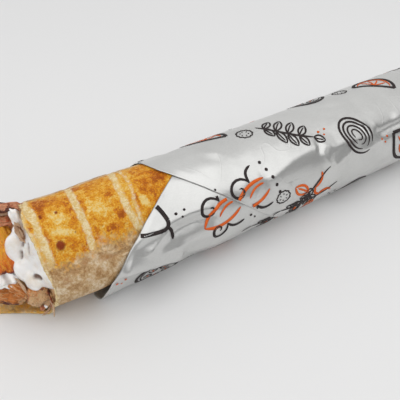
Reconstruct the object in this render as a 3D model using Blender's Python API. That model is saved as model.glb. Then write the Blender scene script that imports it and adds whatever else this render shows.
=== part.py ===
"""Saj sandwich: grilled flatbread rolled round chicken and garlic sauce, in a sheet of wrapping paper.

The roll lies along X with its open end towards -X and its closed, wrapped end towards +X, and it rests
on Z = 0. Lengths below are in millimetres and become metres where points are placed. An angle round the
roll is measured in degrees from the front (-Y): 90 is the top, 180 the back and -90 the underside.
"""

import math

import bmesh
import bpy
from mathutils import Matrix, Vector, noise

MM = 0.001
WELD = 1e-7

# --- driving dimensions, mm -------------------------------------------------------------------------
AXIS_Y = -1.3           # the roll's axis
AXIS_Z = 27.0
PAPER_RADIUS = 29.0     # outside of the wrapped roll
FAR_END = 154.8         # tip of the closed end
END_LENGTH = 15.5       # stretch over which the closed end rounds in
END_SQUARENESS = 0.72
END_HOLE = 0.02         # where the pleats meet, as a share of the radius
POLE_X = 150.4          # the bread's own end, inside the paper
RIM_X = -123.0          # the bread's rim at the open end
TONGUE_REACH = 31.7     # how far the bread's underside reaches past the rim
TONGUE_ANGLE = -118.0
TONGUE_FRONT_WIDTH = 62.0
TONGUE_BACK_WIDTH = 105.0
RIM_NOTCH = 2.0         # how far the rim is drawn back near the top
NOTCH_ANGLE = 112.0
NOTCH_HALF_WIDTH = 34.0
LIP_CURL = 1.6          # the tongue's front edge curls up by this much
LIP_ANGLE = -70.0
LIP_HALF_WIDTH = 30.0
GAP = 0.35              # between neighbouring pieces
OVERSIZE = 1.0          # a plug of filling is this much larger than its room before it is cut to fit
FILLING_GAP = 0.5       # between the bread's wall and its filling
LAYER_SEEN = 325.0      # degrees before the seam up to which the paper is the outermost layer
LAYER_UNDER = 357.0     # and from which it lies on another

# the bread's cross-section: a rounded square whose grilled face leans towards the front
BREAD_ACROSS = 25.8     # half width along the grilled face
BREAD_THROUGH = 26.6    # half depth through the grilled face
BREAD_SQUARENESS = 2.5
GRILL_TILT = 39.0
BREAD_RISE = ((-124.0, 3.1), (-103.0, 2.1), (-78.0, 2.0), (-60.0, 1.2))    # X, shift up and back
BREAD_TUCK = 1.3        # the lower front is drawn in by this much
TUCK_ANGLE = -42.0
TUCK_HALF_WIDTH = 42.0
SKIRT = 8.0             # at the rim the underside comes back out to the table
SKIRT_ANGLE = -78.0
SKIRT_HALF_WIDTH = 34.0
SKIRT_FADE = (-2.0, 3.0)    # and is gone again this far from the rim
BREAD_WALL = 2.2
RIM_WALL = 1.3
BREAD_LUMPS = 0.3
SQUEEZE_FROM = -60.0    # from here the paper draws the bread into a round
SQUEEZE_TO = -35.0

# the grill's marks: half width, and (angle, X) along the middle, which bows
GRILL_LINES = (
    (1.6, ((38.0, -119.9), (120.0, -120.1))),
    (1.5, ((40.0, -100.4), (65.0, -99.9), (86.0, -99.8), (114.0, -98.4), (130.0, -97.5))),
    (1.5, ((37.0, -76.6), (50.0, -77.8), (66.0, -78.9), (86.0, -78.4), (105.0, -76.6), (135.0, -73.8))),
    (0.75, ((37.0, -73.6), (50.0, -74.6), (68.0, -74.3), (81.0, -72.7), (96.0, -71.9), (135.0, -70.6))),
)
GRILL_MIDDLE = 80.0         # angle at which a mark's nominal place is read
GRILL_LAST = -60.0          # past this the rings are square to the roll again
GRILL_STEPS = (0.8, 1.3)    # a groove is full depth up to the first share of its half width, then fades
GRILL_DEPTH = 0.8

# the sheet of paper, wound from its inner start over the front, round the back and down the front again
SHEET = 0.5
LAYER_PITCH = 0.85
COVER_MOUTH = 1.7       # from the bread's surface to the paper's outer surface
COVER_FULL = 2.3
FLARE_RADIUS = 28.7     # where the loose corner of the mouth touches the table
FLARE_ANGLE = -55.0
FLARE_HALF_WIDTH = 55.0
PLEATS = 10
PLEAT_DEPTH = 0.9

# where the sheet's edge runs: (angle wound down from the front, X), inner edge, corner, outer seam
SHEET_EDGE = (
    (-145.0, -18.0), (-100.0, -38.0), (-77.0, -51.4), (-62.0, -62.0), (-43.5, -74.0), (-20.0, -86.3),
    (8.0, -97.3), (39.0, -101.6), (68.0, -102.5), (110.0, -94.0), (150.0, -78.0), (180.0, -66.0),
    (205.0, -59.8), (228.0, -59.4), (256.0, -59.0), (264.0, -58.2), (272.7, -56.3), (280.0, -52.7),
    (296.0, -44.7), (315.0, -35.0), (347.0, -17.0), (400.0, 11.0), (423.0, 22.0), (475.0, 42.0),
)
CORNER_WOUND = 68.0

# the garlic sauce lies along the roll, inside the front of the bread, and fills the front of its open end
SAUCE_ANGLE = 17.0
SAUCE_REGION = (        # X, distance of its middle from the axis, shift round it, half width, half thickness
    (118.0, 21.0, 0.0, 15.0, 5.0), (60.0, 20.5, 0.0, 18.0, 6.0), (-60.0, 20.5, 0.0, 20.0, 6.5),
    (-88.0, 20.0, 2.0, 21.0, 8.0), (-108.0, 12.5, 5.0, 18.5, 16.0), (-118.0, 10.5, 6.5, 15.5, 18.3),
    (-160.0, 10.5, 6.5, 15.5, 18.3),
)
SAUCE_COLUMNS = 28
SAUCE_TIP = -130.0
FACE_RISE = 0.35        # the filling's face leans: how far X moves for each millimetre of height
FACE_TURN = 0.4         # and for each millimetre towards the back
CORE_TIP = -126.0

PAPER_COLUMNS = 64
BREAD_COLUMNS = 40
ROOM_STATIONS = (-118.0, -110.0, -101.0, -90.0, -60.0, -52.0, -44.0, -35.0, 40.0, FAR_END - END_LENGTH)
OPENING = 8.0           # the filling may stand this much further out past the rim, near the top
OPENING_ANGLE = 100.0


# --- small helpers -----------------------------------------------------------------------------------
def smooth(value, low, high):
    """0 up to low, 1 from high on, and an even S between them."""
    share = min(1.0, max(0.0, (value - low) / (high - low)))
    return share * share * (3.0 - 2.0 * share)


def mix(first, second, share):
    return first + (second - first) * share


def bump(angle, centre, half_width):
    """1 at the centre angle, falling evenly to 0 at half_width on either side."""
    away = abs((angle - centre + 180.0) % 360.0 - 180.0)
    return math.cos(math.radians(90.0 * away / half_width)) ** 2 if away < half_width else 0.0


def along(points, value):
    """Reads a rising list of (key, value) points, with straight runs between them."""
    if value <= points[0][0]:
        return points[0][1]
    for (key, low), (next_key, high) in zip(points, points[1:]):
        if value <= next_key:
            return mix(low, high, (value - key) / (next_key - key))
    return points[-1][1]


def place(x, angle, radius, floor=0.0):
    """A point at an angle and radius round the roll's axis, never lower than floor."""
    turn = math.radians(angle)
    height = max(AXIS_Z + radius * math.sin(turn), floor)
    return Vector((x, AXIS_Y - radius * math.cos(turn), height)) * MM


# --- the roll's surfaces -------------------------------------------------------------------------------
def bread_radius(angle, x):
    """Outside of the bread: a leaning rounded square at the open end, a round inside the paper."""
    turn = math.radians(angle - GRILL_TILT)
    across = abs(math.cos(turn)) / BREAD_ACROSS
    through = abs(math.sin(turn)) / BREAD_THROUGH
    square = (across ** BREAD_SQUARENESS + through ** BREAD_SQUARENESS) ** (-1.0 / BREAD_SQUARENESS)
    lean = math.radians(angle)
    square += along(BREAD_RISE, x) * (math.sin(lean) - math.cos(lean))
    square -= BREAD_TUCK * bump(angle, TUCK_ANGLE, TUCK_HALF_WIDTH)
    skirt = 1.0 - smooth(x, RIM_X + SKIRT_FADE[0], RIM_X + SKIRT_FADE[1])
    square += SKIRT * bump(angle, SKIRT_ANGLE, SKIRT_HALF_WIDTH) * skirt
    return mix(square, PAPER_RADIUS - COVER_FULL, smooth(x, SQUEEZE_FROM, SQUEEZE_TO))


def bread_wall(x):
    """The bread is thin at its rim and full a little way in."""
    return mix(RIM_WALL, BREAD_WALL, smooth(x, RIM_X, RIM_X + 20.0))


def cover(x):
    return mix(COVER_MOUTH, COVER_FULL, smooth(x, SQUEEZE_FROM, SQUEEZE_TO))


def paper_radius(angle, x):
    """Outside of the outermost paper: close on the bread above, out to the table at the mouth's corner."""
    close = bread_radius(angle, x) + cover(x)
    flare = bump(angle, FLARE_ANGLE, FLARE_HALF_WIDTH) * (1.0 - smooth(x, SQUEEZE_FROM, SQUEEZE_TO))
    return mix(close, FLARE_RADIUS, flare)


def bread_floor(x):
    """Height of the bread's underside: on the table past the paper, then on one and on two layers."""
    on_one_layer = mix(0.1, 0.95, smooth(x, -124.0, -112.0))
    return mix(on_one_layer, 1.7, smooth(x, SQUEEZE_FROM, SQUEEZE_TO))


def end_station(turn):
    """A ring of the closed end at 0 to 90 degrees of its rounding: X, share of radius, and normal."""
    def profile(degrees):
        across = max(math.cos(math.radians(degrees)), 0.0) ** END_SQUARENESS
        ahead = math.sin(math.radians(degrees)) ** END_SQUARENESS
        return FAR_END - END_LENGTH + END_LENGTH * ahead, max(across, END_HOLE)

    x, share = profile(turn)
    before, after = profile(max(turn - 3.0, 0.0)), profile(min(turn + 3.0, 90.0))
    normal = Vector(((before[1] - after[1]) * PAPER_RADIUS, after[0] - before[0])).normalized()
    return x, share, normal.x, normal.y


def tube_station(x):
    return x, 1.0, 0.0, 1.0


def pleat_depth(share):
    """How deep the closed end's folds are at a share of its radius: deepest half way to the middle."""
    return PLEAT_DEPTH * math.sin(math.pi * min(1.0, max(0.0, 1.08 - share))) if share < 1.0 else 0.0


def wrapped_point(station, angle, inset, floor, radius):
    """A point of the paper, inset below its outer surface along the surface's normal."""
    x, share, normal_x, normal_out = station
    sunk = inset - pleat_depth(share) * math.sin(math.radians(PLEATS * angle))
    return place(x - normal_x * sunk, angle, radius * share - normal_out * sunk, floor)


# --- meshes ------------------------------------------------------------------------------------------
def finish(bm, name, material):
    """Turns a bmesh into a named object, faces outwards, with its own material."""
    bmesh.ops.recalc_face_normals(bm, faces=bm.faces)
    if bm.calc_volume(signed=True) < 0.0:
        bmesh.ops.reverse_faces(bm, faces=bm.faces)
    mesh = bpy.data.meshes.new(name)
    bm.to_mesh(mesh)
    bm.free()
    mesh.shade_smooth()
    mesh.materials.append(material)
    made = bpy.data.objects.new(name, mesh)
    bpy.context.scene.collection.objects.link(made)
    return made


def wrapped_grid(columns, rows, point):
    """A grid closed round its columns; point(column, row) places each corner, and rows that meet close.

    Quads are split the same way in every grid, so that nested surfaces keep an even gap.
    """
    bm = bmesh.new()
    bmesh.ops.create_grid(bm, x_segments=columns, y_segments=rows, size=0.5)
    for vert in bm.verts:
        column = round((vert.co.x + 0.5) * columns) % columns
        row = round((vert.co.y + 0.5) * rows)
        vert.co = point(column, row)
    bmesh.ops.triangulate(bm, faces=bm.faces, quad_method="FIXED")
    bmesh.ops.remove_doubles(bm, verts=bm.verts, dist=WELD)
    return bm


def make_material(name, colour, roughness):
    material = bpy.data.materials.new(name)
    material.use_nodes = True
    shader = material.node_tree.nodes["Principled BSDF"]
    shader.inputs["Base Color"].default_value = (*colour, 1.0)
    shader.inputs["Roughness"].default_value = roughness
    material.diffuse_color = (*colour, 1.0)
    return material


# --- the paper -----------------------------------------------------------------------------------------
def seam_wound(x):
    """How far round the sheet reaches at X, in degrees wound down from the front."""
    seam = [(place_x, wound) for wound, place_x in SHEET_EDGE if wound >= CORNER_WOUND]
    return along(seam, x)


def build_wrapper(material):
    """The sheet: an outer and an inner face that meet in a knife edge all round."""
    start, end = SHEET_EDGE[0][0], SHEET_EDGE[-1][0]
    shares = (0.0, 0.03, 0.1, 0.2, 0.3, 0.42, 0.55, 0.75, 1.0)
    level_x = 45.0
    tube = (75.0, 108.0, FAR_END - END_LENGTH)
    turns = (12.0, 28.0, 46.0, 64.0, 79.0, 90.0)
    rows = len(shares) + len(tube) + len(turns) - 1

    def station(wound, row):
        if row < len(shares):
            return tube_station(mix(along(SHEET_EDGE, wound), level_x, shares[row]))
        row -= len(shares)
        return tube_station(tube[row]) if row < len(tube) else end_station(turns[row - len(tube)])

    def point(column, row):
        outside = column <= PAPER_COLUMNS
        step = column if outside else 2 * PAPER_COLUMNS - column
        wound = mix(start, end, step / PAPER_COLUMNS)
        here = station(wound, row)
        before_seam = max(seam_wound(here[0]) - wound, 0.0)
        on_edge = row in (0, rows) or step in (0, PAPER_COLUMNS)
        into_sheet = SHEET * (0.5 if on_edge else 0.0 if outside else 1.0)
        inset = LAYER_PITCH * before_seam / 360.0 + into_sheet
        floor = LAYER_PITCH * smooth(before_seam, LAYER_SEEN, LAYER_UNDER) + into_sheet
        return wrapped_point(here, -wound, inset, floor, paper_radius(-wound, here[0]))

    return finish(wrapped_grid(2 * PAPER_COLUMNS, rows, point), "wrapper_paper", material)


# --- the bread -----------------------------------------------------------------------------------------
def rim_x(angle):
    """The open end's edge: nearly square to the roll, with a tongue along the underside."""
    wave = 0.7 * math.sin(math.radians(3.0 * angle + 40.0)) + 0.4 * math.sin(math.radians(7.0 * angle))
    in_front = (angle - TONGUE_ANGLE) % 360.0 < 180.0
    width = TONGUE_FRONT_WIDTH if in_front else TONGUE_BACK_WIDTH
    drawn_back = RIM_NOTCH * bump(angle, NOTCH_ANGLE, NOTCH_HALF_WIDTH)
    return RIM_X - TONGUE_REACH * bump(angle, TONGUE_ANGLE, width) + wave + drawn_back


def grill_middles():
    """The nominal place and half width of each grill mark."""
    return [(along(line, GRILL_MIDDLE), half) for half, line in GRILL_LINES]


def grill_relief(angle, nominal):
    """Depth of the shallow grooves that the grill's bars press into the upper front."""
    held = smooth(angle, 15.0, 35.0) * (1.0 - smooth(angle, 120.0, 150.0))
    full, edge = GRILL_STEPS
    nearest = min(abs(nominal - middle) / half for middle, half in grill_middles())
    return GRILL_DEPTH * held * (1.0 - smooth(nearest, full + 0.01, edge - 0.01))


def bowed(angle, nominal):
    """X at an angle of the ring with this nominal place: the rings bow with the grill's marks."""
    held = smooth(angle, -40.0, 20.0) * (1.0 - smooth(angle, 140.0, 175.0))
    drift = [(RIM_X + 1.0, 0.0)]
    drift += [(middle, along(line, angle) - middle) for (middle, _), (_, line) in zip(grill_middles(), GRILL_LINES)]
    return nominal + held * along(drift + [(GRILL_LAST, 0.0)], nominal)


def lip_curl(angle, x):
    """How far the tongue's front edge curls up off the table."""
    near_edge = 1.0 - smooth(x, rim_x(angle), rim_x(angle) + 7.0)
    return LIP_CURL * bump(angle, LIP_ANGLE, LIP_HALF_WIDTH) * near_edge


def bread_point(station, angle, depth, groove=0.0):
    """A point of the bread, depth below its outer surface, which a groove lowers."""
    x, share, normal_x, normal_out = station
    radius = bread_radius(angle, x)
    if depth == 0.0:
        radius += BREAD_LUMPS * noise.noise(Vector((x * 0.06, angle * 0.025, 1.0))) - groove
    if share < 1.0:
        sunk = COVER_FULL + depth + pleat_depth(share)
        return place(x - normal_x * sunk, angle, (radius + COVER_FULL) * share - normal_out * sunk)
    curl = lip_curl(angle, x)
    return place(x, angle, radius - depth - curl, bread_floor(x) + depth + curl)


def build_bread(material):
    """A pouch: outside from the closed end to the rim, over the rim, and back along the inside."""
    start_x = RIM_X + 1.0
    edges = [
        middle + side * half
        for middle, half in grill_middles()
        for side in (-GRILL_STEPS[1], -GRILL_STEPS[0], GRILL_STEPS[0], GRILL_STEPS[1])
        if middle + side * half > start_x
    ]
    between = [-110.0, -88.0, -60.0, -50.0, -35.0, -5.0, 45.0, 95.0, FAR_END - END_LENGTH]
    lengthwise = sorted(edges + between)
    near_rim = (0.0, 0.3, 0.65)
    turns = (25.0, 50.0, 72.0)
    outer = [("pole", 0.0, 0.0)]
    outer += [("end", turn, 0.0) for turn in reversed(turns)]
    outer += [("tube", x, 0.0) for x in reversed(lengthwise)]
    outer += [("tube", start_x, 0.0)]
    outer += [("rim", share, 0.0) for share in reversed(near_rim)]
    inner = [("lip", 0.0, 0.5)]
    inner += [("rim", share, 1.0) for share in near_rim]
    inner += [("tube", x, 1.0) for x in ROOM_STATIONS]
    inner += [("end", turn, 1.0) for turn in turns]
    inner += [("pole", 0.0, 1.0)]
    profile = outer + inner

    def point(column, row):
        kind, value, inwards = profile[row]
        angle = 180.0 - 360.0 * column / BREAD_COLUMNS
        if kind == "pole":
            return Vector((POLE_X - BREAD_WALL * inwards, AXIS_Y, AXIS_Z)) * MM
        if kind == "end":
            station = end_station(value)
        elif kind == "tube" and inwards == 0.0:
            return bread_point(tube_station(bowed(angle, value)), angle, 0.0, grill_relief(angle, value))
        elif kind == "tube":
            station = tube_station(value)
        elif kind == "lip":
            station = tube_station(rim_x(angle) - 0.5)
        else:
            station = tube_station(mix(rim_x(angle), start_x, value))
        return bread_point(station, angle, bread_wall(station[0]) * inwards)

    return finish(wrapped_grid(BREAD_COLUMNS, len(profile) - 1, point), "saj_bread", material)


# --- the filling ---------------------------------------------------------------------------------------
def inside_radius(angle, x):
    """As far out as the filling goes."""
    return bread_radius(angle, x) - bread_wall(x) - FILLING_GAP


def leaning(point, share):
    """Leans a ring so that the filling's face slopes out towards its foot and its back."""
    lean = FACE_RISE * (point.z - AXIS_Z * MM) - FACE_TURN * (point.y - AXIS_Y * MM)
    return point + Vector((share * lean, 0.0, 0.0))


def filling_floor(x):
    return bread_floor(x) + bread_wall(x) + FILLING_GAP


def filling_plug(name, tip, swell, material):
    """Fills the roll from its closed end to a sloping face at tip, whose surface swells in soft lumps."""
    rings = [(138.0, 0.0), (137.0, 0.6), (130.0, 0.92), (110.0, 1.0), (40.0, 1.0), (-35.0, 1.0), (-44.0, 1.0)]
    rings += [(-52.0, 1.0), (-60.0, 1.0), (-90.0, 1.0), (-106.0, 1.0), (-118.0, 1.0), (tip + 5.0, 0.98)]
    rings += [(tip + 2.2, 0.88)]
    rings += [(tip + 0.8, 0.66), (tip + 0.2, 0.34), (tip, 0.0)]

    def point(column, row):
        x, share = rings[row]
        angle = 180.0 - 360.0 * column / BREAD_COLUMNS
        radius = (inside_radius(angle, x) + OVERSIZE) * share
        floor = mix(AXIS_Z, filling_floor(x) - OVERSIZE, share)
        spot = place(x, angle, radius, floor)
        near_face = 1.0 - smooth(x, tip + 2.0, tip + 6.0)
        lump = swell * near_face * noise.noise(Vector((spot.y, spot.z, 0.0)) / MM * 0.14)
        return leaning(spot, 1.0 - smooth(x, -118.0, -90.0)) + Vector((lump * MM, 0.0, 0.0))

    return finish(wrapped_grid(BREAD_COLUMNS, len(rings) - 1, point), name, material)


def sauce_region(grow, material):
    """A guide solid: the part of the filling that is sauce, made larger by grow."""
    lean = math.radians(SAUCE_ANGLE)
    outwards = Vector((0.0, -math.cos(lean), math.sin(lean)))
    around = Vector((0.0, math.sin(lean), math.cos(lean)))

    def point(column, row):
        x, away, shift, half_width, half_thickness = SAUCE_REGION[min(max(row - 1, 0), len(SAUCE_REGION) - 1)]
        turn = math.tau * column / SAUCE_COLUMNS
        closed = row in (0, len(SAUCE_REGION) + 1)
        past = grow if row <= 1 else 0.0
        across = shift + (0.0 if closed else (half_width + grow) * math.sin(turn))
        through = 0.0 if closed else (half_thickness + grow) * math.cos(turn)
        return (Vector((x + past, AXIS_Y, AXIS_Z)) + outwards * (away + through) + around * across) * MM

    return finish(wrapped_grid(SAUCE_COLUMNS, len(SAUCE_REGION) + 1, point), "sauce_guide", material)


# --- the pieces at the open end ------------------------------------------------------------------------
def chunk_mesh(half_sizes, lumps, seed, level, grow):
    """An uneven lump of half_sizes, its surface moved out by grow."""
    bm = bmesh.new()
    bmesh.ops.create_icosphere(bm, subdivisions=level, radius=1.0)
    for vert in bm.verts:
        way = vert.co.normalized()
        boxy = (abs(way.x) ** 3 + abs(way.y) ** 3 + abs(way.z) ** 3) ** (-1.0 / 3.0)
        rough = 1.0 + lumps * noise.noise(way * 1.7 + Vector((seed * 5.3, seed * 1.9, 0.0)))
        vert.co = Vector([way[axis] * boxy * rough * (half_sizes[axis] + grow) for axis in range(3)])
    return bm


def turned(centre, length_way, face_way):
    """Places a lump: its X along length_way, its Z towards face_way."""
    x_axis = Vector(length_way).normalized()
    y_axis = Vector(face_way).cross(x_axis).normalized()
    z_axis = x_axis.cross(y_axis)
    turn = Matrix((x_axis, y_axis, z_axis)).transposed().to_4x4()
    return Matrix.Translation(centre) @ turn


# name, centre, direction of its length, way it faces, half sizes, lumpiness, refinement
CHICKEN = (
    ("chicken_golden_piece", (-138.4, 14.5, 33.0), (0.06, -0.74, -0.66), (-0.5, -0.55, 0.6), (15.2, 9.0, 4.8),
     0.3, 3),
    ("chicken_charred_strip", (-128.4, 15.8, 53.8), (-0.9, 0.35, 0.08), (0.0, -0.3, 1.0), (10.6, 2.6, 1.4),
     0.5, 2),
    ("chicken_red_strip", (-132.4, 18.2, 45.7), (-0.95, 0.28, -0.04), (0.0, -0.5, 0.85), (8.8, 3.5, 2.2),
     0.5, 2),
    ("chicken_shred", (-125.8, 4.2, 45.4), (0.12, -0.55, -0.82), (-0.6, -0.5, 0.6), (4.6, 1.7, 1.3), 0.5, 2),
    ("chicken_round_chunk", (-127.0, -7.6, 15.6), (-0.3, -0.9, 0.2), (-0.6, -0.4, 0.7), (7.8, 6.8, 5.6),
     0.25, 3),
    ("chicken_low_piece", (-140.3, 2.4, 11.3), (-0.8, 0.6, 0.05), (-0.2, -0.6, 0.8), (9.5, 4.6, 3.0), 0.35, 3),
    ("chicken_thin_shred", (-135.3, -3.0, 18.8), (0.55, -0.6, -0.55), (-0.5, -0.5, 0.7), (5.0, 2.1, 1.5),
     0.4, 2),
)
DOLLOP = ("garlic_sauce_dollop", (-138.5, 3.9, 21.2), (-0.7, 0.6, -0.3), (-0.3, -0.5, 0.8), (6.5, 4.8, 3.6),
          0.3, 3)


def piece(row, seed, grow, material):
    name, centre, length_way, face_way, half_sizes, lumps, level = row
    bm = chunk_mesh(half_sizes, lumps, seed, level, grow)
    bm.transform(Matrix.Scale(MM, 4) @ turned(Vector(centre), length_way, face_way))
    return finish(bm, name, material)


def carve(target, tool, operation):
    """Applies a Boolean to target and keeps its largest body; the exact solver loses bodies this small."""
    change = target.modifiers.new("carve", "BOOLEAN")
    change.solver = "MANIFOLD"
    change.operation = operation
    change.object = tool
    bpy.context.view_layer.update()
    evaluated = target.evaluated_get(bpy.context.evaluated_depsgraph_get())
    carved = bpy.data.meshes.new_from_object(evaluated)
    target.modifiers.remove(change)
    target.data = carved
    keep_largest(carved)


def keep_largest(mesh):
    """Drops loose scraps that a Boolean leaves."""
    bm = bmesh.new()
    bm.from_mesh(mesh)
    left, bodies = set(bm.verts), []
    while left:
        body, edge_of = set(), [next(iter(left))]
        while edge_of:
            vert = edge_of.pop()
            if vert not in body:
                body.add(vert)
                edge_of += [edge.other_vert(vert) for edge in vert.link_edges]
        left -= body
        bodies.append(body)
    bodies.sort(key=len, reverse=True)
    for scrap in bodies[1:]:
        bmesh.ops.delete(bm, geom=list(scrap), context="VERTS")
    bm.to_mesh(mesh)
    bm.free()


def room_in_bread(material):
    """A guide solid: the room inside the bread's wall, opening out a little past the rim."""
    stations = (-160.0, -145.0, -138.0, -132.0, -128.0, -124.0, *ROOM_STATIONS)

    def point(column, row):
        last = len(stations) + 1
        x = stations[min(max(row - 1, 0), len(stations) - 1)]
        angle = 180.0 - 360.0 * column / BREAD_COLUMNS
        if row in (0, last):
            return Vector((x, AXIS_Y, AXIS_Z)) * MM
        curl = lip_curl(angle, x)
        spread = OPENING * smooth(RIM_X - x, 1.0, 8.0) * bump(angle, OPENING_ANGLE, 80.0)
        return place(x, angle, inside_radius(angle, x) - curl + spread, filling_floor(x) + curl)

    return finish(wrapped_grid(BREAD_COLUMNS, len(stations) + 1, point), "room_guide", material)


def build_filling(materials):
    """Chicken and sauce along the roll, with loose pieces and a dollop at the open end, all kept apart."""
    room = room_in_bread(materials["chicken"])
    core = filling_plug("chicken_filling", CORE_TIP, 1.0, materials["chicken"])
    sauce = filling_plug("garlic_sauce", SAUCE_TIP, 3.0, materials["sauce"])
    region, larger_region = (sauce_region(grow, materials["sauce"]) for grow in (0.0, GAP))
    carve(sauce, region, "INTERSECT")
    carve(core, larger_region, "DIFFERENCE")
    pieces = []
    for seed, row in enumerate([*CHICKEN, DOLLOP]):
        kind = "sauce" if row is DOLLOP else "chicken"
        lump = piece(row, seed, 0.0, materials[kind])
        carve(lump, room, "INTERSECT")
        larger = piece(row, seed, GAP, materials[kind])
        for _, earlier_larger in pieces:
            carve(lump, earlier_larger, "DIFFERENCE")
        pieces.append((lump, larger))
    for body in (core, sauce):
        carve(body, room, "INTERSECT")
        for lump, larger in pieces:
            carve(body, larger, "DIFFERENCE")
    for guide in [room, region, larger_region] + [larger for lump, larger in pieces]:
        bpy.data.objects.remove(guide)


# --- the model -----------------------------------------------------------------------------------------
def main():
    for old in list(bpy.data.objects):
        bpy.data.objects.remove(old)
    materials = {
        "bread": make_material("grilled_bread", (0.72, 0.42, 0.11), 0.62),
        "paper": make_material("wrapping_paper", (0.62, 0.61, 0.6), 0.42),
        "sauce": make_material("garlic_sauce", (0.8, 0.77, 0.7), 0.3),
        "chicken": make_material("grilled_chicken", (0.52, 0.24, 0.09), 0.45),
    }
    build_bread(materials["bread"])
    build_wrapper(materials["paper"])
    build_filling(materials)


main()
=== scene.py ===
"""A grilled saj sandwich in its wrapping paper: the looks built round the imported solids.

The roll lies along X with its open end towards -X. Shapes are worked out in millimetres and become metres
where points are placed. An angle round the roll is in degrees from the front (-Y): 90 is the top, 180 the
back and -90 the underside. The paper is one wound sheet, and a place on it is how far it is wound down
from the front, in degrees, and X.
"""

import logging
import math
import random
from collections.abc import Callable, Iterable, Sequence
from dataclasses import dataclass, field
from enum import Enum
from itertools import product

import bmesh
import bpy
from mathutils import Matrix, Vector, noise


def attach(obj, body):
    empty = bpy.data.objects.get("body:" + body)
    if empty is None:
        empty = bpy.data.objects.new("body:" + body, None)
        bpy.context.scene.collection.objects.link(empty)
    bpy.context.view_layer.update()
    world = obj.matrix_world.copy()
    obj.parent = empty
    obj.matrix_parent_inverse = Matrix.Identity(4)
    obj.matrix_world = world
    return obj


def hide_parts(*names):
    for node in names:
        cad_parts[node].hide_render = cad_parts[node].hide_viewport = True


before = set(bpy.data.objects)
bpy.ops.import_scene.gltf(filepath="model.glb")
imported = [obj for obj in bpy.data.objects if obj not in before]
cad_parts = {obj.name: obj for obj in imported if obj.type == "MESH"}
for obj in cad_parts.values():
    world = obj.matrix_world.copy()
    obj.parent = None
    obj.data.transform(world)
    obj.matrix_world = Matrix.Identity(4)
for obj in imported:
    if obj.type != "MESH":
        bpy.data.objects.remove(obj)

MM = 0.001
log = logging.getLogger("saj_sandwich")

Colour = tuple[float, float, float]
Flat = tuple[float, float]
Spot = tuple[float, float, float]
Marks = dict[str, float]
Ripples = tuple[tuple[float, float, float, float], ...]
Socket = bpy.types.NodeSocket
Sockets = bpy.types.bpy_prop_collection


# --- numbers ---
def smooth(value: float, low: float, high: float) -> float:
    """0 up to low, 1 from high on, and an even S between them.

    Args:
        value: what is judged.
        low: where the rise starts.
        high: where the rise ends.

    Returns:
        A share from 0 to 1.
    """
    share = min(1.0, max(0.0, (value - low) / (high - low)))
    return share * share * (3.0 - 2.0 * share)


def mix(first: float, second: float, share: float) -> float:
    """The value a share of the way from first to second."""
    return first + (second - first) * share


def turn_between(angle: float, centre: float) -> float:
    """Signed degrees from centre to angle, the short way round."""
    return (angle - centre + 180.0) % 360.0 - 180.0


def bump(angle: float, centre: float, half_width: float) -> float:
    """1 at the centre angle, falling evenly to 0 at half_width on either side."""
    away = abs(turn_between(angle, centre))
    return math.cos(math.radians(90.0 * away / half_width)) ** 2 if away < half_width else 0.0


def along(points: Sequence[Flat], value: float) -> float:
    """Reads a rising list of (key, value) points, with straight runs between them.

    Args:
        points: the list, sorted by key.
        value: the key to read at.

    Returns:
        The value there, held level past either end.
    """
    if value <= points[0][0]:
        return points[0][1]
    for (key, low), (next_key, high) in zip(points, points[1:]):
        if value <= next_key:
            return mix(low, high, (value - key) / (next_key - key))
    return points[-1][1]


def display(red: float, green: float, blue: float) -> Colour:
    """A colour as a screen shows it, 0 to 255, as the linear values that a shader takes."""
    shares = (channel / 255.0 for channel in (red, green, blue))
    return tuple(c / 12.92 if c <= 0.04045 else ((c + 0.055) / 1.055) ** 2.4 for c in shares)


def rough(x: float, y: float, z: float = 0.0) -> float:
    """Even noise between about -1 and 1."""
    return noise.noise(Vector((x, y, z)))


def rippled(ripples: Ripples, x: float, y: float) -> float:
    """The sum of layers of noise, each with its amount, its scales along x and y, and its own depth."""
    return sum(amount * rough(x * by_x, y * by_y, layer) for amount, by_x, by_y, layer in ripples)


# --- the roll's surfaces ---
@dataclass(frozen=True)
class Station:
    """A ring across the roll: its X, its share of the full radius, and its outline's normal there."""

    x: float
    share: float = 1.0
    normal_x: float = 0.0
    normal_out: float = 1.0


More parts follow.
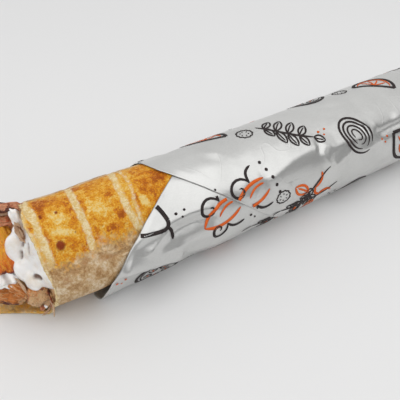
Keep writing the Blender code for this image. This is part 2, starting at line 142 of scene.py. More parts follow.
@dataclass(frozen=True)
class RollShape:
    """The sizes, in millimetres, and the surfaces that bread, filling and paper share.

    Where three numbers stand together, they are an amount, an angle and a half width round the roll.
    """

    axis_y: float = -1.3
    axis_z: float = 27.0
    full_radius: float = 29.0
    far_end: float = 154.8
    end_length: float = 15.5
    end_squareness: float = 0.72
    end_hole: float = 0.02
    pleats: int = 10
    pleat_sink: float = 0.9
    pleat_from: float = 1.08
    pleat_overtone: Flat = (0.22, 0.8)
    rim_at: float = -123.0
    tongue_reach: float = 31.7
    tongue_angle: float = -118.0
    tongue_widths: Flat = (62.0, 105.0)
    notch: Spot = (2.0, 112.0, 34.0)
    bread_across: float = 25.8
    bread_through: float = 26.6
    squareness: float = 2.5
    grill_tilt: float = 39.0
    rim_floor: float = 0.1
    front_floor: float = 0.95
    paper_floor: float = 1.7
    floor_rise: Flat = (-124.0, -112.0)
    wall_run: float = 20.0
    filling_gap: float = 0.3
    rim_waves: tuple[Spot, ...] = ((0.7, 3.0, 40.0), (0.4, 7.0, 0.0))
    rise: tuple[Flat, ...] = ((-124.0, 3.1), (-103.0, 2.1), (-78.0, 2.0), (-60.0, 1.2))
    tuck: Spot = (1.3, -42.0, 42.0)
    skirt: Spot = (8.0, -78.0, 34.0)
    skirt_fade: Flat = (-2.0, 3.0)
    flare: Spot = (28.7, -55.0, 55.0)
    wall: Flat = (1.3, 2.2)
    squeeze: Flat = (-60.0, -35.0)
    cover: Flat = (1.7, 2.3)
    sheet_edge: tuple[Flat, ...] = (
        (-145, -18), (-100, -38), (-77, -51.4), (-62, -62), (-43.5, -74), (-20, -86.3),
        (8, -97.3), (39, -101.6), (68, -102.5), (110, -94), (150, -78), (180, -66),
        (205, -59.8), (228, -59.4), (256, -59), (264, -58.2), (272.7, -56.3), (280, -52.7),
        (296, -44.7), (315, -35), (347, -17), (400, 11), (423, 22), (475, 42))
    sheet_corner: float = 68.0

    def place(self, x: float, angle: float, radius: float, floor: float = 0.0) -> Vector:
        """A point round the roll's axis, in metres, never lower than floor."""
        turn = math.radians(angle)
        height = max(self.axis_z + radius * math.sin(turn), floor)
        return Vector((x, self.axis_y - radius * math.cos(turn), height)) * MM

    def squeezed(self, x: float) -> float:
        """How far the paper has drawn the bread into a round at X."""
        return smooth(x, *self.squeeze)

    def bread_radius(self, angle: float, x: float) -> float:
        """Outside of the bread: a leaning rounded square at the open end, a round inside the paper.

        Args:
            angle: degrees round the roll.
            x: along the roll.

        Returns:
            The distance from the axis.
        """
        turn = math.radians(angle - self.grill_tilt)
        across = abs(math.cos(turn)) / self.bread_across
        through = abs(math.sin(turn)) / self.bread_through
        square = (across ** self.squareness + through ** self.squareness) ** (-1.0 / self.squareness)
        lean = math.radians(angle)
        square += along(self.rise, x) * (math.sin(lean) - math.cos(lean))
        square -= self.tuck[0] * bump(angle, *self.tuck[1:])
        held = 1.0 - smooth(x, self.rim_at + self.skirt_fade[0], self.rim_at + self.skirt_fade[1])
        square += self.skirt[0] * bump(angle, *self.skirt[1:]) * held
        return mix(square, self.full_radius - self.cover[1], self.squeezed(x))

    def mouth_x(self, angle: float) -> float:
        """Where the paper starts to cover the bread at an angle."""
        first, last = self.sheet_edge[0][0], self.sheet_edge[-1][0]
        turns = (-angle, 360.0 - angle, 720.0 - angle)
        return min(along(self.sheet_edge, wound) for wound in turns if first <= wound <= last)

    def paper_radius(self, angle: float, x: float) -> float:
        """Outside of the outermost paper, out to the table at the mouth's loose corner."""
        close = self.bread_radius(angle, x) + mix(*self.cover, self.squeezed(x))
        return mix(close, self.flare[0], bump(angle, *self.flare[1:]) * (1.0 - self.squeezed(x)))

    def bread_floor(self, x: float) -> float:
        """Height of the bread's underside over the table."""
        in_front = mix(self.rim_floor, self.front_floor, smooth(x, *self.floor_rise))
        return mix(in_front, self.paper_floor, self.squeezed(x))

    def bread_wall(self, x: float) -> float:
        """How thick the bread is: thin at its rim and full a little way in."""
        return mix(*self.wall, smooth(x, self.rim_at, self.rim_at + self.wall_run))

    def rim_x(self, angle: float) -> float:
        """Where the bread ends: nearly square to the roll, with a tongue along the underside."""
        wave = sum(out * math.sin(math.radians(times * angle + ahead))
                   for out, times, ahead in self.rim_waves)
        wave += self.notch[0] * bump(angle, *self.notch[1:])
        in_front = (angle - self.tongue_angle) % 360.0 < 180.0
        width = self.tongue_widths[0 if in_front else 1]
        return self.rim_at - self.tongue_reach * bump(angle, self.tongue_angle, width) + wave

    def end_ring(self, turn: float) -> Station:
        """A ring of the closed end, at 0 to 90 degrees of its rounding.

        Args:
            turn: degrees of the rounding, 0 where it starts.

        Returns:
            The ring.
        """
        def outline(degrees: float) -> Flat:
            """X and share of the radius at this much of the rounding."""
            over = max(math.cos(math.radians(degrees)), 0.0) ** self.end_squareness
            ahead = math.sin(math.radians(degrees)) ** self.end_squareness
            return self.far_end - self.end_length * (1.0 - ahead), max(over, self.end_hole)

        x, share = outline(turn)
        before, after = outline(max(turn - 3.0, 0.0)), outline(min(turn + 3.0, 90.0))
        normal = Vector(((before[1] - after[1]) * self.full_radius, after[0] - before[0])).normalized()
        return Station(x, share, normal.x, normal.y)

    def pleat(self, angle: float, share: float) -> float:
        """How far a fold of the closed end stands out at an angle and a share of the radius."""
        if share >= 1.0:
            return 0.0
        depth = self.pleat_sink * math.sin(math.pi * min(1.0, max(0.0, self.pleat_from - share)))
        wave = math.radians(self.pleats * angle)
        much, ahead = self.pleat_overtone
        return depth * (math.sin(wave) + much * math.sin(2.0 * wave + ahead))

    def inside_radius(self, angle: float, x: float) -> float:
        """As far out as the filling goes."""
        return self.bread_radius(angle, x) - self.bread_wall(x) - self.filling_gap

    def filling_floor(self, x: float) -> float:
        """Height of the filling's underside."""
        return self.bread_floor(x) + self.bread_wall(x) + self.filling_gap


# --- meshes ---
def facing(length_way: Spot, face_way: Spot) -> Matrix:
    """The turn that lays a shape's X along length_way and its Z towards face_way."""
    x_axis = Vector(length_way).normalized()
    y_axis = Vector(face_way).cross(x_axis).normalized()
    return Matrix((x_axis, y_axis, x_axis.cross(y_axis))).transposed().to_4x4()


def linked(name: str, data: bpy.types.ID) -> bpy.types.Object:
    """A new object in the scene with this mesh, lamp or camera."""
    made = bpy.data.objects.new(name, data)
    bpy.context.scene.collection.objects.link(made)
    return made


def mesh_object(bm: bmesh.types.BMesh, name: str, material: bpy.types.Material) -> bpy.types.Object:
    """Turns a shape in metres into a named, smooth object of one material, and frees the shape."""
    mesh = bpy.data.meshes.new(name)
    bm.to_mesh(mesh)
    bm.free()
    mesh.shade_smooth()
    mesh.materials.append(material)
    return linked(name, mesh)


def finish_mesh(bm: bmesh.types.BMesh, name: str, material: bpy.types.Material) -> bpy.types.Object:
    """Turns a closed shape in metres into an object with its faces outwards, and frees the shape."""
    bmesh.ops.recalc_face_normals(bm, faces=bm.faces)
    if bm.calc_volume(signed=True) < 0.0:
        bmesh.ops.reverse_faces(bm, faces=bm.faces)
    return mesh_object(bm, name, material)


@dataclass
class RolledGrid:
    """A grid closed round its columns, with values marked on its points."""

    columns: int
    rows: int
    marks: tuple[str, ...] = ()

    def build(self, point: Callable[[int, int], tuple[Vector, Marks]]) -> bmesh.types.BMesh:
        """Places every corner of the grid.

        Args:
            point: gives the place and the marks of (column, row). Rows that meet in a point are closed.

        Returns:
            The closed shape, still editable.
        """
        bm = bmesh.new()
        layers = {mark: bm.verts.layers.float.new(mark) for mark in self.marks}
        bmesh.ops.create_grid(bm, x_segments=self.columns, y_segments=self.rows, size=0.5)
        for vert in bm.verts:
            column = round((vert.co.x + 0.5) * self.columns) % self.columns
            row = round((vert.co.y + 0.5) * self.rows)
            vert.co, marked = point(column, row)
            for mark, layer in layers.items():
                vert[layer] = marked.get(mark, 0.0)
        bmesh.ops.remove_doubles(bm, verts=bm.verts, dist=1e-7)
        return bm


def spaced(start: float, stop: float, step: float) -> list[float]:
    """Even steps from start up to but without stop, each close to step."""
    count = max(1, round(abs(stop - start) / step))
    return [mix(start, stop, index / count) for index in range(count)]


# --- nodes ---
class Wiring:
    """Places and joins the nodes of one material or node group."""

    def __init__(self, tree: bpy.types.NodeTree) -> None:
        """Works on this node tree."""
        self.tree = tree

    def node(self, kind: str, **settings: object) -> bpy.types.Node:
        """Adds a node and sets its plain properties."""
        added = self.tree.nodes.new(kind)
        for setting, value in settings.items():
            setattr(added, setting, value)
        return added

    def feed(self, socket: Socket, source: object) -> None:
        """Links a socket to another one, or gives it a fixed number or colour."""
        if isinstance(source, Socket):
            self.tree.links.new(source, socket)
        elif isinstance(source, (int, float)):
            socket.default_value = float(source)
        else:
            values = tuple(source)
            wide = len(socket.default_value)
            socket.default_value = values if len(values) == wide else (*values, 1.0)

    def math(self, operation: str, *values: object, clamp: bool = False) -> Socket:
        """A sum on one to three values."""
        added = self.node("ShaderNodeMath", operation=operation, use_clamp=clamp)
        for socket, value in zip(added.inputs, values):
            self.feed(socket, value)
        return added.outputs[0]

    def swung(self, value: object, *swings: tuple[object, float]) -> Socket:
        """A value that each mask of 0 to 1 moves up and down by up to half its amount."""
        for mask, amount in swings:
            swing = self.math("MULTIPLY", self.math("SUBTRACT", mask, 0.5), amount)
            value = self.math("ADD", value, swing)
        return value

    def weighted(self, *parts: tuple[object, float]) -> Socket:
        """The sum of masks, each times its weight."""
        mask, weight = parts[0]
        total = self.math("MULTIPLY", mask, weight)
        for mask, weight in parts[1:]:
            total = self.math("ADD", total, self.math("MULTIPLY", mask, weight))
        return total

    def blend(self, share: object, first: object, second: object) -> Socket:
        """Mixes two colours: first where share is 0, second where it is 1."""
        added = self.node("ShaderNodeMix", data_type="RGBA", blend_type="MIX", clamp_factor=True)
        for index, source in ((0, share), (6, first), (7, second)):
            self.feed(added.inputs[index], source)
        return added.outputs[2]

    def spread(self, value: object, low: object, high: object, bottom: object = 0.0,
               top: object = 1.0) -> Socket:
        """Maps low..high to bottom..top with an even S and clamps."""
        added = self.node("ShaderNodeMapRange", interpolation_type="SMOOTHSTEP")
        for socket, source in zip(added.inputs, (value, low, high, bottom, top)):
            self.feed(socket, source)
        return added.outputs[0]

    def ramp(self, value: object, stops: Sequence[tuple[float, Colour]]) -> Socket:
        """Reads a colour from a row of (place, colour) stops."""
        added = self.node("ShaderNodeValToRGB")
        elements = added.color_ramp.elements
        while len(elements) < len(stops):
            elements.new(1.0)
        for element, (place, colour) in zip(elements, stops):
            element.position = place
            element.color = (*colour, 1.0)
        self.feed(added.inputs[0], value)
        return added.outputs[0]

    def cloud(self, vector: object, scale: object, detail: float = 2.0, roughness: float = 0.5,
              distortion: float = 0.0) -> Socket:
        """Cloudy noise, about 0 to 1, with this many waves to a metre."""
        added = self.node("ShaderNodeTexNoise")
        sources = {"Vector": vector, "Scale": scale, "Detail": detail, "Roughness": roughness,
                   "Distortion": distortion}
        for name, source in sources.items():
            self.feed(added.inputs[name], source)
        return added.outputs["Fac"]

    def stretched(self, vector: object, scale: Sequence[float]) -> Socket:
        """A vector with each axis scaled."""
        added = self.node("ShaderNodeMapping")
        self.feed(added.inputs["Vector"], vector)
        self.feed(added.inputs["Scale"], scale)
        return added.outputs[0]

    def attribute(self, name: str, output: str = "Fac") -> Socket:
        """A value marked on the piece's own points."""
        return self.node("ShaderNodeAttribute", attribute_name=name).outputs[output]

    def place(self) -> Socket:
        """The piece's own coordinates."""
        return self.node("ShaderNodeTexCoord").outputs["Object"]

    def use(self, group: bpy.types.NodeTree, **inputs: object) -> Socket:
        """Places a shared effect with its own values and gives its output."""
        added = self.node("ShaderNodeGroup", node_tree=group)
        for name, value in inputs.items():
            self.feed(added.inputs[name], value)
        return added.outputs[0]


class SharedEffects:
    """The effects that several materials use, each a node group that is built once and then placed."""

    _made: dict[str, bpy.types.NodeTree] = {}

    @classmethod
    def _group(cls, name: str, numbers: dict[str, float],
               shape: Callable[[Wiring, Sockets], Socket]) -> bpy.types.NodeTree:
        """Builds a group on its first use.

        Args:
            name: the effect.
            numbers: its inputs beside Vector, with their first values.
            shape: works out the effect's value, about 0 to 1, from the group's inputs.

        Returns:
            The group.
        """
        if name not in cls._made:
            tree = bpy.data.node_groups.new(name, "ShaderNodeTree")
            tree.interface.new_socket("Vector", in_out="INPUT", socket_type="NodeSocketVector")
            for label, value in numbers.items():
                socket = tree.interface.new_socket(label, in_out="INPUT", socket_type="NodeSocketFloat")
                socket.default_value = value
            tree.interface.new_socket("Mask", in_out="OUTPUT", socket_type="NodeSocketFloat")
            work = Wiring(tree)
            given = work.node("NodeGroupInput").outputs
            work.feed(work.node("NodeGroupOutput").inputs["Mask"], shape(work, given))
            cls._made[name] = tree
        return cls._made[name]

    @classmethod
    def crumb(cls, work: Wiring, vector: object, scale: float) -> Socket:
        """Fine uneven grain, as on bread, meat and paper."""
        def grain(inner: Wiring, given: Sockets) -> Socket:
            """Two sizes of noise, sharpened."""
            finer = inner.math("MULTIPLY", given["Scale"], 2.7)
            both = inner.weighted((inner.cloud(given["Vector"], given["Scale"]), 0.6),
                                  (inner.cloud(given["Vector"], finer), 0.4))
            return inner.spread(both, 0.32, 0.68)

        return work.use(cls._group("crumb_grain", {"Scale": 900.0}, grain), Vector=vector, Scale=scale)

    @classmethod
    def patches(cls, work: Wiring, vector: object, scale: float, low: float = 0.36,
                high: float = 0.64) -> Socket:
        """Soft-edged patches, which low and high sharpen."""
        def mask(inner: Wiring, given: Sockets) -> Socket:
            """Clouds between two levels."""
            cloud = inner.cloud(given["Vector"], given["Scale"], 3.0)
            return inner.spread(cloud, given["Low"], given["High"])

        group = cls._group("soft_patches", {"Scale": 150.0, "Low": 0.35, "High": 0.65}, mask)
        return work.use(group, Vector=vector, Scale=scale, Low=low, High=high)

    @classmethod
    def creases(cls, work: Wiring, vector: object, scale: float, width: float) -> Socket:
        """Thin branching lines, as in crumpled paper and dried bread: 1 on a line, 0 away from it."""
        def line(inner: Wiring, given: Sockets) -> Socket:
            """The places where a cloud crosses its middle level."""
            cloud = inner.cloud(given["Vector"], given["Scale"], 1.0)
            away = inner.math("ABSOLUTE", inner.math("SUBTRACT", cloud, 0.5))
            return inner.spread(away, given["Width"], 0.0)

        group = cls._group("fine_creases", {"Scale": 60.0, "Width": 0.04}, line)
        return work.use(group, Vector=vector, Scale=scale, Width=width)


class Finish:
    """One material at work: its nodes, and its shader with the settings that most finishes share."""

    def __init__(self, name: str) -> None:
        """Starts a material of this name."""
        self.material = bpy.data.materials.new(name)
        self.material.use_nodes = True
        self.work = Wiring(self.material.node_tree)
        self.shader = self.material.node_tree.nodes["Principled BSDF"]

    def set(self, **values: object) -> None:
        """Feeds the shader's sockets, whose names have _ for each space."""
        for name, value in values.items():
            self.work.feed(self.shader.inputs[name.replace("_", " ")], value)

    def gloss(self, mask: object, low: float, high: float) -> None:
        """Roughness from low to high as the mask goes from 0 to 1."""
        self.set(Roughness=self.work.spread(mask, 0.0, 1.0, low, high))

    def relief(self, height: object, distance: float) -> None:
        """A surface bent by a height, distance metres deep where the height is 1."""
        bump = self.work.node("ShaderNodeBump")
        self.work.feed(bump.inputs["Height"], height)
        bump.inputs["Distance"].default_value = distance
        self.set(Normal=bump.outputs[0])

    def soft_inside(self, weight: float, radius: Spot) -> None:
        """Light that spreads a little under the surface."""
        self.set(Subsurface_Weight=weight, Subsurface_Radius=radius, Subsurface_Scale=1.0)


@dataclass(frozen=True)
class BreadFinish:
    """Thin flatbread: golden to orange-brown where the grill pressed it, pale and floury below."""

    pale: tuple[Colour, ...] = (display(160, 118, 72), display(196, 162, 118), display(230, 214, 186))
    pale_stops: tuple[float, ...] = (0.0, 0.45, 1.0)
    golden: tuple[Colour, ...] = (display(234, 206, 136), display(230, 178, 66), display(220, 150, 28),
                                  display(200, 116, 14), display(162, 80, 6))
    golden_stops: tuple[float, ...] = (0.0, 0.26, 0.5, 0.75, 1.0)
    stripe: tuple[Colour, ...] = (display(216, 182, 112), display(238, 220, 178))
    smudge: Colour = display(160, 102, 44)
    char: Colour = display(136, 54, 8)
    roughness: Flat = (0.5, 0.68)

    def build(self) -> bpy.types.Material:
        """Makes the material, which reads the marks toast, tone, stripe, smudge and char."""
        finish = Finish("grilled_bread")
        work = finish.work
        place = work.place()
        wide = SharedEffects.patches(work, place, 150.0, 0.3, 0.7)
        patch = SharedEffects.patches(work, place, 420.0)
        fibre = SharedEffects.patches(work, work.stretched(place, (1.0, 0.55, 0.8)), 780.0, 0.34, 0.66)
        grain = SharedEffects.crumb(work, place, 1300.0)
        tone = work.swung(work.attribute("tone"), (wide, 0.16), (patch, 0.3), (grain, 0.5))
        toasted = work.ramp(tone, tuple(zip(self.golden_stops, self.golden)))
        ragged = work.swung(work.attribute("toast"), (patch, 0.3), (fibre, 0.3))
        floury = work.swung(work.weighted((fibre, 0.35), (wide, 0.65)), (grain, 0.34))
        underside = work.ramp(floury, tuple(zip(self.pale_stops, self.pale)))
        skin = work.blend(work.spread(ragged, 0.12, 0.92), underside, toasted)
        striped = work.swung(work.attribute("stripe"), (patch, 0.3), (grain, 0.25))
        mottled = work.math("MULTIPLY", work.math("SUBTRACT", patch, 0.5), 0.6)
        cream = work.blend(work.math("ADD", grain, mottled, clamp=True), *self.stripe)
        skin = work.blend(work.spread(striped, 0.15, 0.85), skin, cream)
        smudged = work.math("MULTIPLY", work.attribute("smudge"), work.spread(fibre, -0.2, 0.8))
        skin = work.blend(smudged, skin, self.smudge)
        finish.set(Base_Color=work.blend(work.attribute("char"), skin, self.char), Specular_IOR_Level=0.24)
        finish.gloss(patch, *self.roughness)
        cracks = SharedEffects.creases(work, place, 260.0, 0.03)
        finish.relief(work.weighted((grain, 0.7), (patch, 1.0), (cracks, -0.5)), 0.0002)
        return finish.material


@dataclass(frozen=True)
class ChickenFinish:
    """Grilled chicken: fibres along the piece, browned where it was seared, with a painted highlight on the
    fibres' crests.
    """

    flesh: Colour
    seared: Colour
    dark: Colour
    roughness: Flat = (0.22, 0.46)
    # Painted highlight: how much brighter the flesh colour is painted on the fibres' crests.
    gleam: Flat = (1.12, 0.02)

    def build(self, name: str) -> bpy.types.Material:
        """Makes the material, which reads the marks sear and dark and the piece's own lie of fibres; it
        paints a highlight on the fibres' crests, and the dark mark carries painted shade in their grooves.
        """
        finish = Finish(name)
        work = finish.work
        lie = work.attribute("lie", "Vector")
        fibre = work.cloud(work.stretched(lie, (0.22, 1.0, 1.0)), 0.85, 3.0, 0.55, 0.4)
        fibre = work.spread(fibre, 0.34, 0.66)
        patch = SharedEffects.patches(work, lie, 0.32)
        grain = SharedEffects.crumb(work, lie, 1.5)
        sear = work.swung(work.attribute("sear"), (patch, 0.6), (fibre, 0.5))
        meat = work.blend(work.spread(sear, 0.2, 0.8), self.flesh, self.seared)
        # Painted highlight: a brightened flesh colour is blended onto the fibres' crests.
        bright = tuple(min(1.0, channel * self.gleam[0] + self.gleam[1]) for channel in self.flesh)
        meat = work.blend(work.math("MULTIPLY", work.spread(fibre, 0.3, 1.0), 0.5), meat, bright)
        # Burnt edges and tips, and painted shade in the fibres' grooves, blend towards the dark colour.
        burnt = work.swung(work.attribute("dark"), (patch, 0.7), (grain, 0.3))
        finish.set(Base_Color=work.blend(work.spread(burnt, 0.28, 0.9), meat, self.dark))
        finish.gloss(patch, *self.roughness)
        finish.relief(work.math("ADD", fibre, work.math("MULTIPLY", grain, 0.5)), 0.0005)
        finish.soft_inside(0.08, (0.002, 0.001, 0.0006))
        return finish.material


@dataclass(frozen=True)
class SauceFinish:
    """Thick white garlic sauce, glossy and a little translucent."""

    white: Colour = display(253, 252, 251)
    cream: Colour = display(230, 221, 208)
    # The colour of juice, and of the painted shade in the sauce's hollows.
    oil: Colour = display(138, 112, 100)
    roughness: Flat = (0.2, 0.32)

    def build(self, name: str) -> bpy.types.Material:
        """Makes the material, which reads the mark for juice that has run into the sauce and for painted
        shade in its scooped hollows.
        """
        finish = Finish(name)
        work = finish.work
        place = work.place()
        patch = SharedEffects.patches(work, place, 170.0, 0.4, 0.8)
        tint = work.swung(work.attribute("oil"), (patch, 0.12))
        body = work.blend(patch, self.white, self.cream)
        # Painted shade in the scooped hollows, with some juice tint, darkens the sauce towards this colour.
        finish.set(Base_Color=work.blend(work.spread(tint, 0.08, 0.95), body, self.oil))
        finish.gloss(patch, *self.roughness)
        finish.relief(work.cloud(place, 300.0, roughness=0.55), 0.00022)
        finish.soft_inside(0.12, (0.0016, 0.0013, 0.001))
        return finish.material


@dataclass(frozen=True)
class PaperFinish:
    """Satin wrapping paper, silvery, with a fine grain and faint crumples."""

    face: Colour = display(214, 214, 212)
    shade: Colour = display(199, 199, 197)
    roughness: Flat = (0.28, 0.32)
    silver: float = 0.66

    def build(self) -> bpy.types.Material:
        """Makes the material."""
        finish = Finish("wrapping_paper")
        work = finish.work
        place = work.place()
        cloud = SharedEffects.patches(work, place, 45.0, 0.3, 0.7)
        grain = SharedEffects.crumb(work, work.stretched(place, (0.6, 1.0, 1.0)), 1500.0)
        tint = work.weighted((cloud, 0.6), (grain, 0.4))
        finish.set(Base_Color=work.blend(tint, self.shade, self.face), Metallic=self.silver,
                   Specular_IOR_Level=0.5)
        finish.gloss(grain, *self.roughness)
        crumple = work.cloud(work.stretched(place, (0.8, 1.0, 1.0)), 60.0, 3.0)
        lines = SharedEffects.creases(work, place, 38.0, 0.012)
        finish.relief(work.weighted((crumple, 1.2), (lines, 0.08), (grain, 0.012)), 0.0005)
        return finish.material


@dataclass(frozen=True)
class InkFinish:
    """Printing ink on the paper, a little uneven."""

    full: Colour
    worn: Colour
    roughness: Flat = (0.62, 0.72)

    def build(self, name: str) -> bpy.types.Material:
        """Makes the material."""
        finish = Finish(name)
        patch = SharedEffects.patches(finish.work, finish.work.place(), 260.0, 0.45, 0.8)
        finish.set(Base_Color=finish.work.blend(patch, self.full, self.worn), Specular_IOR_Level=0.3)
        finish.gloss(patch, *self.roughness)
        return finish.material


# --- the bread ---
@dataclass(frozen=True)
class Blot:
    """A soft oval on the bread: its place, half sizes in millimetres and degrees, strength and lean."""

    x: float
    angle: float
    half_x: float
    half_angle: float
    amount: float
    lean: float = 0.0

    def at(self, x: float, angle: float) -> float:
        """Its strength at a place: full in the middle, 0 outside."""
        over = turn_between(angle, self.angle)
        ahead = (x - self.x - self.lean * over) / self.half_x
        if abs(ahead) >= 1.0 or abs(over) >= self.half_angle:
            return 0.0
        away = ahead * ahead + (over / self.half_angle) ** 2
        return self.amount * (1.0 - away) ** 2 * (1.0 + 2.0 * away) if away < 1.0 else 0.0


def blots(*rows: tuple[float, ...]) -> tuple[Blot, ...]:
    """Blots from rows of X, angle, half sizes, strength and lean."""
    return tuple(Blot(*row) for row in rows)


@dataclass(frozen=True)
class GrillLine:
    """A grill bar's mark: (angle, X) along its middle, half widths seen and pressed, and its strength."""

    middle: tuple[Flat, ...]
    seen: float
    pressed: float
    strength: float

    def away(self, angle: float, x: float) -> float:
        """How far a place is from the mark's middle, in millimetres along the roll."""
        return abs(x - along(self.middle, angle))


@dataclass
class GrilledBread:
    """The flatbread, rolled and pressed on a grill, with a tongue of it left open under the filling.

    Where three numbers stand together, they are an amount, an angle and a half width round the roll.
    """

    roll: RollShape
    finish: BreadFinish = BreadFinish()
    columns: int = 260
    step: float = 0.65
    start_x: float = -122.0
    pole_x: float = 147.4
    fine_until: float = -48.0
    coarse_step: float = 12.0
    rim_rows: int = 36
    lip_turns: tuple[float, ...] = (30.0, 60.0, 90.0, 120.0, 150.0)
    end_turns: tuple[float, ...] = (25.0, 50.0, 72.0)
    end_gap: float = 2.6
    lip_swell: float = 0.6
    inner_rows: tuple[float, ...] = (-121, -118, -110, -101, -90, -60, -44, -35, 40)
    grill_lines: tuple[GrillLine, ...] = (
        GrillLine(((38, -119.9), (120, -120.1)), 2.3, 1.6, 1),
        GrillLine(((40, -100.4), (65, -99.9), (86, -99.8), (114, -98.4), (130, -97.5)), 1.9, 1.5, 1),
        GrillLine(((37, -76.6), (50, -77.8), (66, -78.9), (86, -78.4), (105, -76.6), (135, -73.8)),
                  2.1, 1.5, 1),
        GrillLine(((37, -73.6), (50, -74.8), (68, -74.3), (81, -72.7), (96, -71.9), (135, -70.6)),
                  1.3, 0.75, 0.62))
    groove: float = 0.55
    line_wobble: Ripples = ((0.3, 0.08, 0.02, 4.0), (0.16, 0.3, 0.1, 8.0))
    line_width: Ripples = ((0.3, 0.07, 9.0, 7.0),)
    line_wear: Ripples = ((0.5, 0.13, 5.0, 3.0),)
    line_shows: float = 0.9
    line_side: Flat = (0.35, 1.3)
    press_side: Flat = (0.5, 1.45)
    line_span: tuple[Flat, Flat] = ((30.0, 46.0), (116.0, 138.0))
    press_span: tuple[Flat, Flat] = ((15.0, 35.0), (120.0, 150.0))
    toast_wander: Ripples = ((6.0, 0.12, 0.03, 1.0), (3.0, 0.4, 0.1, 2.0))
    toast_spread: Flat = (-19.0, 10.0)
    toast_ends: Flat = (108.0, 124.0)
    toasted_back: Spot = (0.8, 222.0, 42.0)
    toasted_side: Spot = (0.35, 150.0, 24.0)
    skin_lumps: Ripples = ((0.3, 0.06, 0.025, 1.0), (0.16, 0.25, 0.12, 3.0), (0.07, 0.7, 0.4, 6.0))
    blister_out: float = 0.8
    blister_char: Flat = (0.1, 0.8)
    blister_edge: Ripples = ((0.3, 0.9, 0.4, 0.0),)
    inner_lip: Spot = (5.0, -80.0, 60.0)
    inner_toast: float = 0.55
    inner_tone: float = 0.3
    inner_clouds: Ripples = ((0.12, 0.1, 0.04, 9.0),)
    inner_pale: Flat = (0.1, 0.6)
    plain_tone: float = 0.45
    tone_clouds: Ripples = ((0.1, 0.16, 0.07, 5.0),)
    drip_tone: float = 0.62
    rim_fade: Flat = (-120.5, -124.0)
    curled: Spot = (1.6, -70.0, 30.0)
    curl_run: float = 7.0
    under_paper: Spot = (2.5, 3.0, 14.0)
    browned_from: tuple[Flat, ...] = ((-125, 46), (-119.3, 43), (-109.2, 40), (-102.9, 40),
                                      (-96.6, 43), (-87.6, 43), (-81.7, 41), (-60, 40))
    tones: tuple[Blot, ...] = blots(
        (-114.6, 101, 4.2, 13, 0.46), (-109, 103, 4.6, 9, 0.34), (-115.4, 88, 2.2, 12, 0.22),
        (-110.2, 79, 4.4, 10, -0.36), (-111.2, 66, 4, 9, -0.5, -0.7), (-103.4, 84, 2.2, 26, 0.2),
        (-107, 49, 5, 7, 0.16), (-103.4, 45, 2.2, 6, 0.3), (-117, 60, 1.6, 22, 0.18),
        (-96.6, 107, 4.5, 8, 0.42), (-90, 101, 5, 8, 0.1), (-97.4, 84, 2.2, 16, 0.2),
        (-83.6, 84, 4, 6, 0.34), (-91.2, 73, 5.4, 13, -0.38, -0.29), (-82.6, 62, 2.8, 9, 0.34),
        (-82.4, 59, 2.4, 4.5, 0.3), (-88, 52, 7.5, 4.5, 0.38), (-96.4, 50, 3, 8, 0.14),
        (-75.6, 84, 2, 20, -0.12), (-73, 68, 1.6, 13, 0.24), (-62, 78, 9, 46, 0.2),
        (-57.6, 83, 5, 11, 0.42), (-62.6, 92, 5, 8, 0.1), (-69.8, 65, 2.6, 9, -0.5, -0.1),
        (-68, 73, 2.4, 5, 0.2), (-122.2, 79, 1.6, 8, 0.3),
    )
    smudges: tuple[Blot, ...] = blots(
        (-116.2, 18.4, 2.6, 6, 0.7), (-106, 30, 2.2, 6, 0.6, 0.2), (-97, 25.6, 4.6, 5, 0.5),
        (-93.2, 23.6, 4, 4.5, 0.4), (-112, 25, 2, 4, 0.3), (-100, 14, 6, 5, 0.16), (-88, 8, 7, 6, 0.2),
        (-107, 8, 6, 5, 0.16), (-72, 178, 9, 22, 0.5), (-98, 200, 12, 20, 0.45), (-113, 168, 6, 18, 0.4),
        (-90, 150, 8, 12, 0.3),
    )
    scorch: Blot = Blot(-122.4, 80.0, 2.2, 9.0, 1.0)
    blister: Blot = Blot(-113.4, 54.4, 2.8, 6.4, 1.0)
    drip: Blot = Blot(-116.0, 44.5, 1.7, 12.0, 1.0, lean=0.3)
    specks: tuple[Blot, ...] = blots(
        (-116.4, 84.9, 1, 2.8, 2.4), (-109.3, 83.8, 0.9, 2, 2.2), (-105, 60.7, 0.6, 1.3, 0.9),
        (-90.1, 46.8, 0.5, 1.2, 0.8), (-83.2, 79.6, 0.5, 1, 0.7), (-92.6, 57, 0.5, 1.2, 0.4),
        (-87, 104, 0.6, 1.4, 0.4), (-64.5, 70, 0.6, 1.6, 0.4), (-56.8, 80, 1, 2.6, 0.6),
    )
    wrinkles: tuple[Blot, ...] = blots(
        (-95.7, 33, 7, 2.4, 0.5, -0.6), (-89.3, 27, 6, 2.2, 0.5, -0.6), (-85.6, 19.7, 5, 2.2, 0.4, -0.7),
        (-100.5, 25, 4, 2.2, -0.4, 0.5), (-92, 22, 6, 2.2, -0.4, -0.6), (-109, 20, 4, 2.6, 0.3, 0.6),
        (-80, 12, 6, 3, 0.4, -0.5), (-84, 4, 7, 3, -0.35, -0.5), (-92, 38, 8, 2, 0.3, -0.5),
        (-104, 2, 7, 3, -0.3, 0.3),
    )

    @staticmethod
    def within(angle: float, span: tuple[Flat, Flat]) -> float:
        """1 inside a span of angles and 0 outside, with a soft start and end."""
        return smooth(angle, *span[0]) * (1.0 - smooth(angle, *span[1]))

    def stripe(self, angle: float, x: float) -> float:
        """How much a grill bar's pale line shows."""
        wobble = rippled(self.line_wobble, angle, x)
        shows = 0.0
        for line in self.grill_lines:
            wide = line.seen * (1.0 + rippled(self.line_width, angle, line.seen))
            away = line.away(angle, x + wobble) / wide
            worn = self.line_shows + rippled(self.line_wear, angle, line.seen)
            shows = max(shows, line.strength * worn * (1.0 - smooth(away, *self.line_side)))
        return shows * self.within(angle, self.line_span)

    def pressed(self, angle: float, x: float) -> float:
        """How deep a grill bar has pressed the skin, from 0 to 1."""
        nearest = min(line.away(angle, x) / line.pressed for line in self.grill_lines)
        return self.within(angle, self.press_span) * (1.0 - smooth(nearest, *self.press_side))

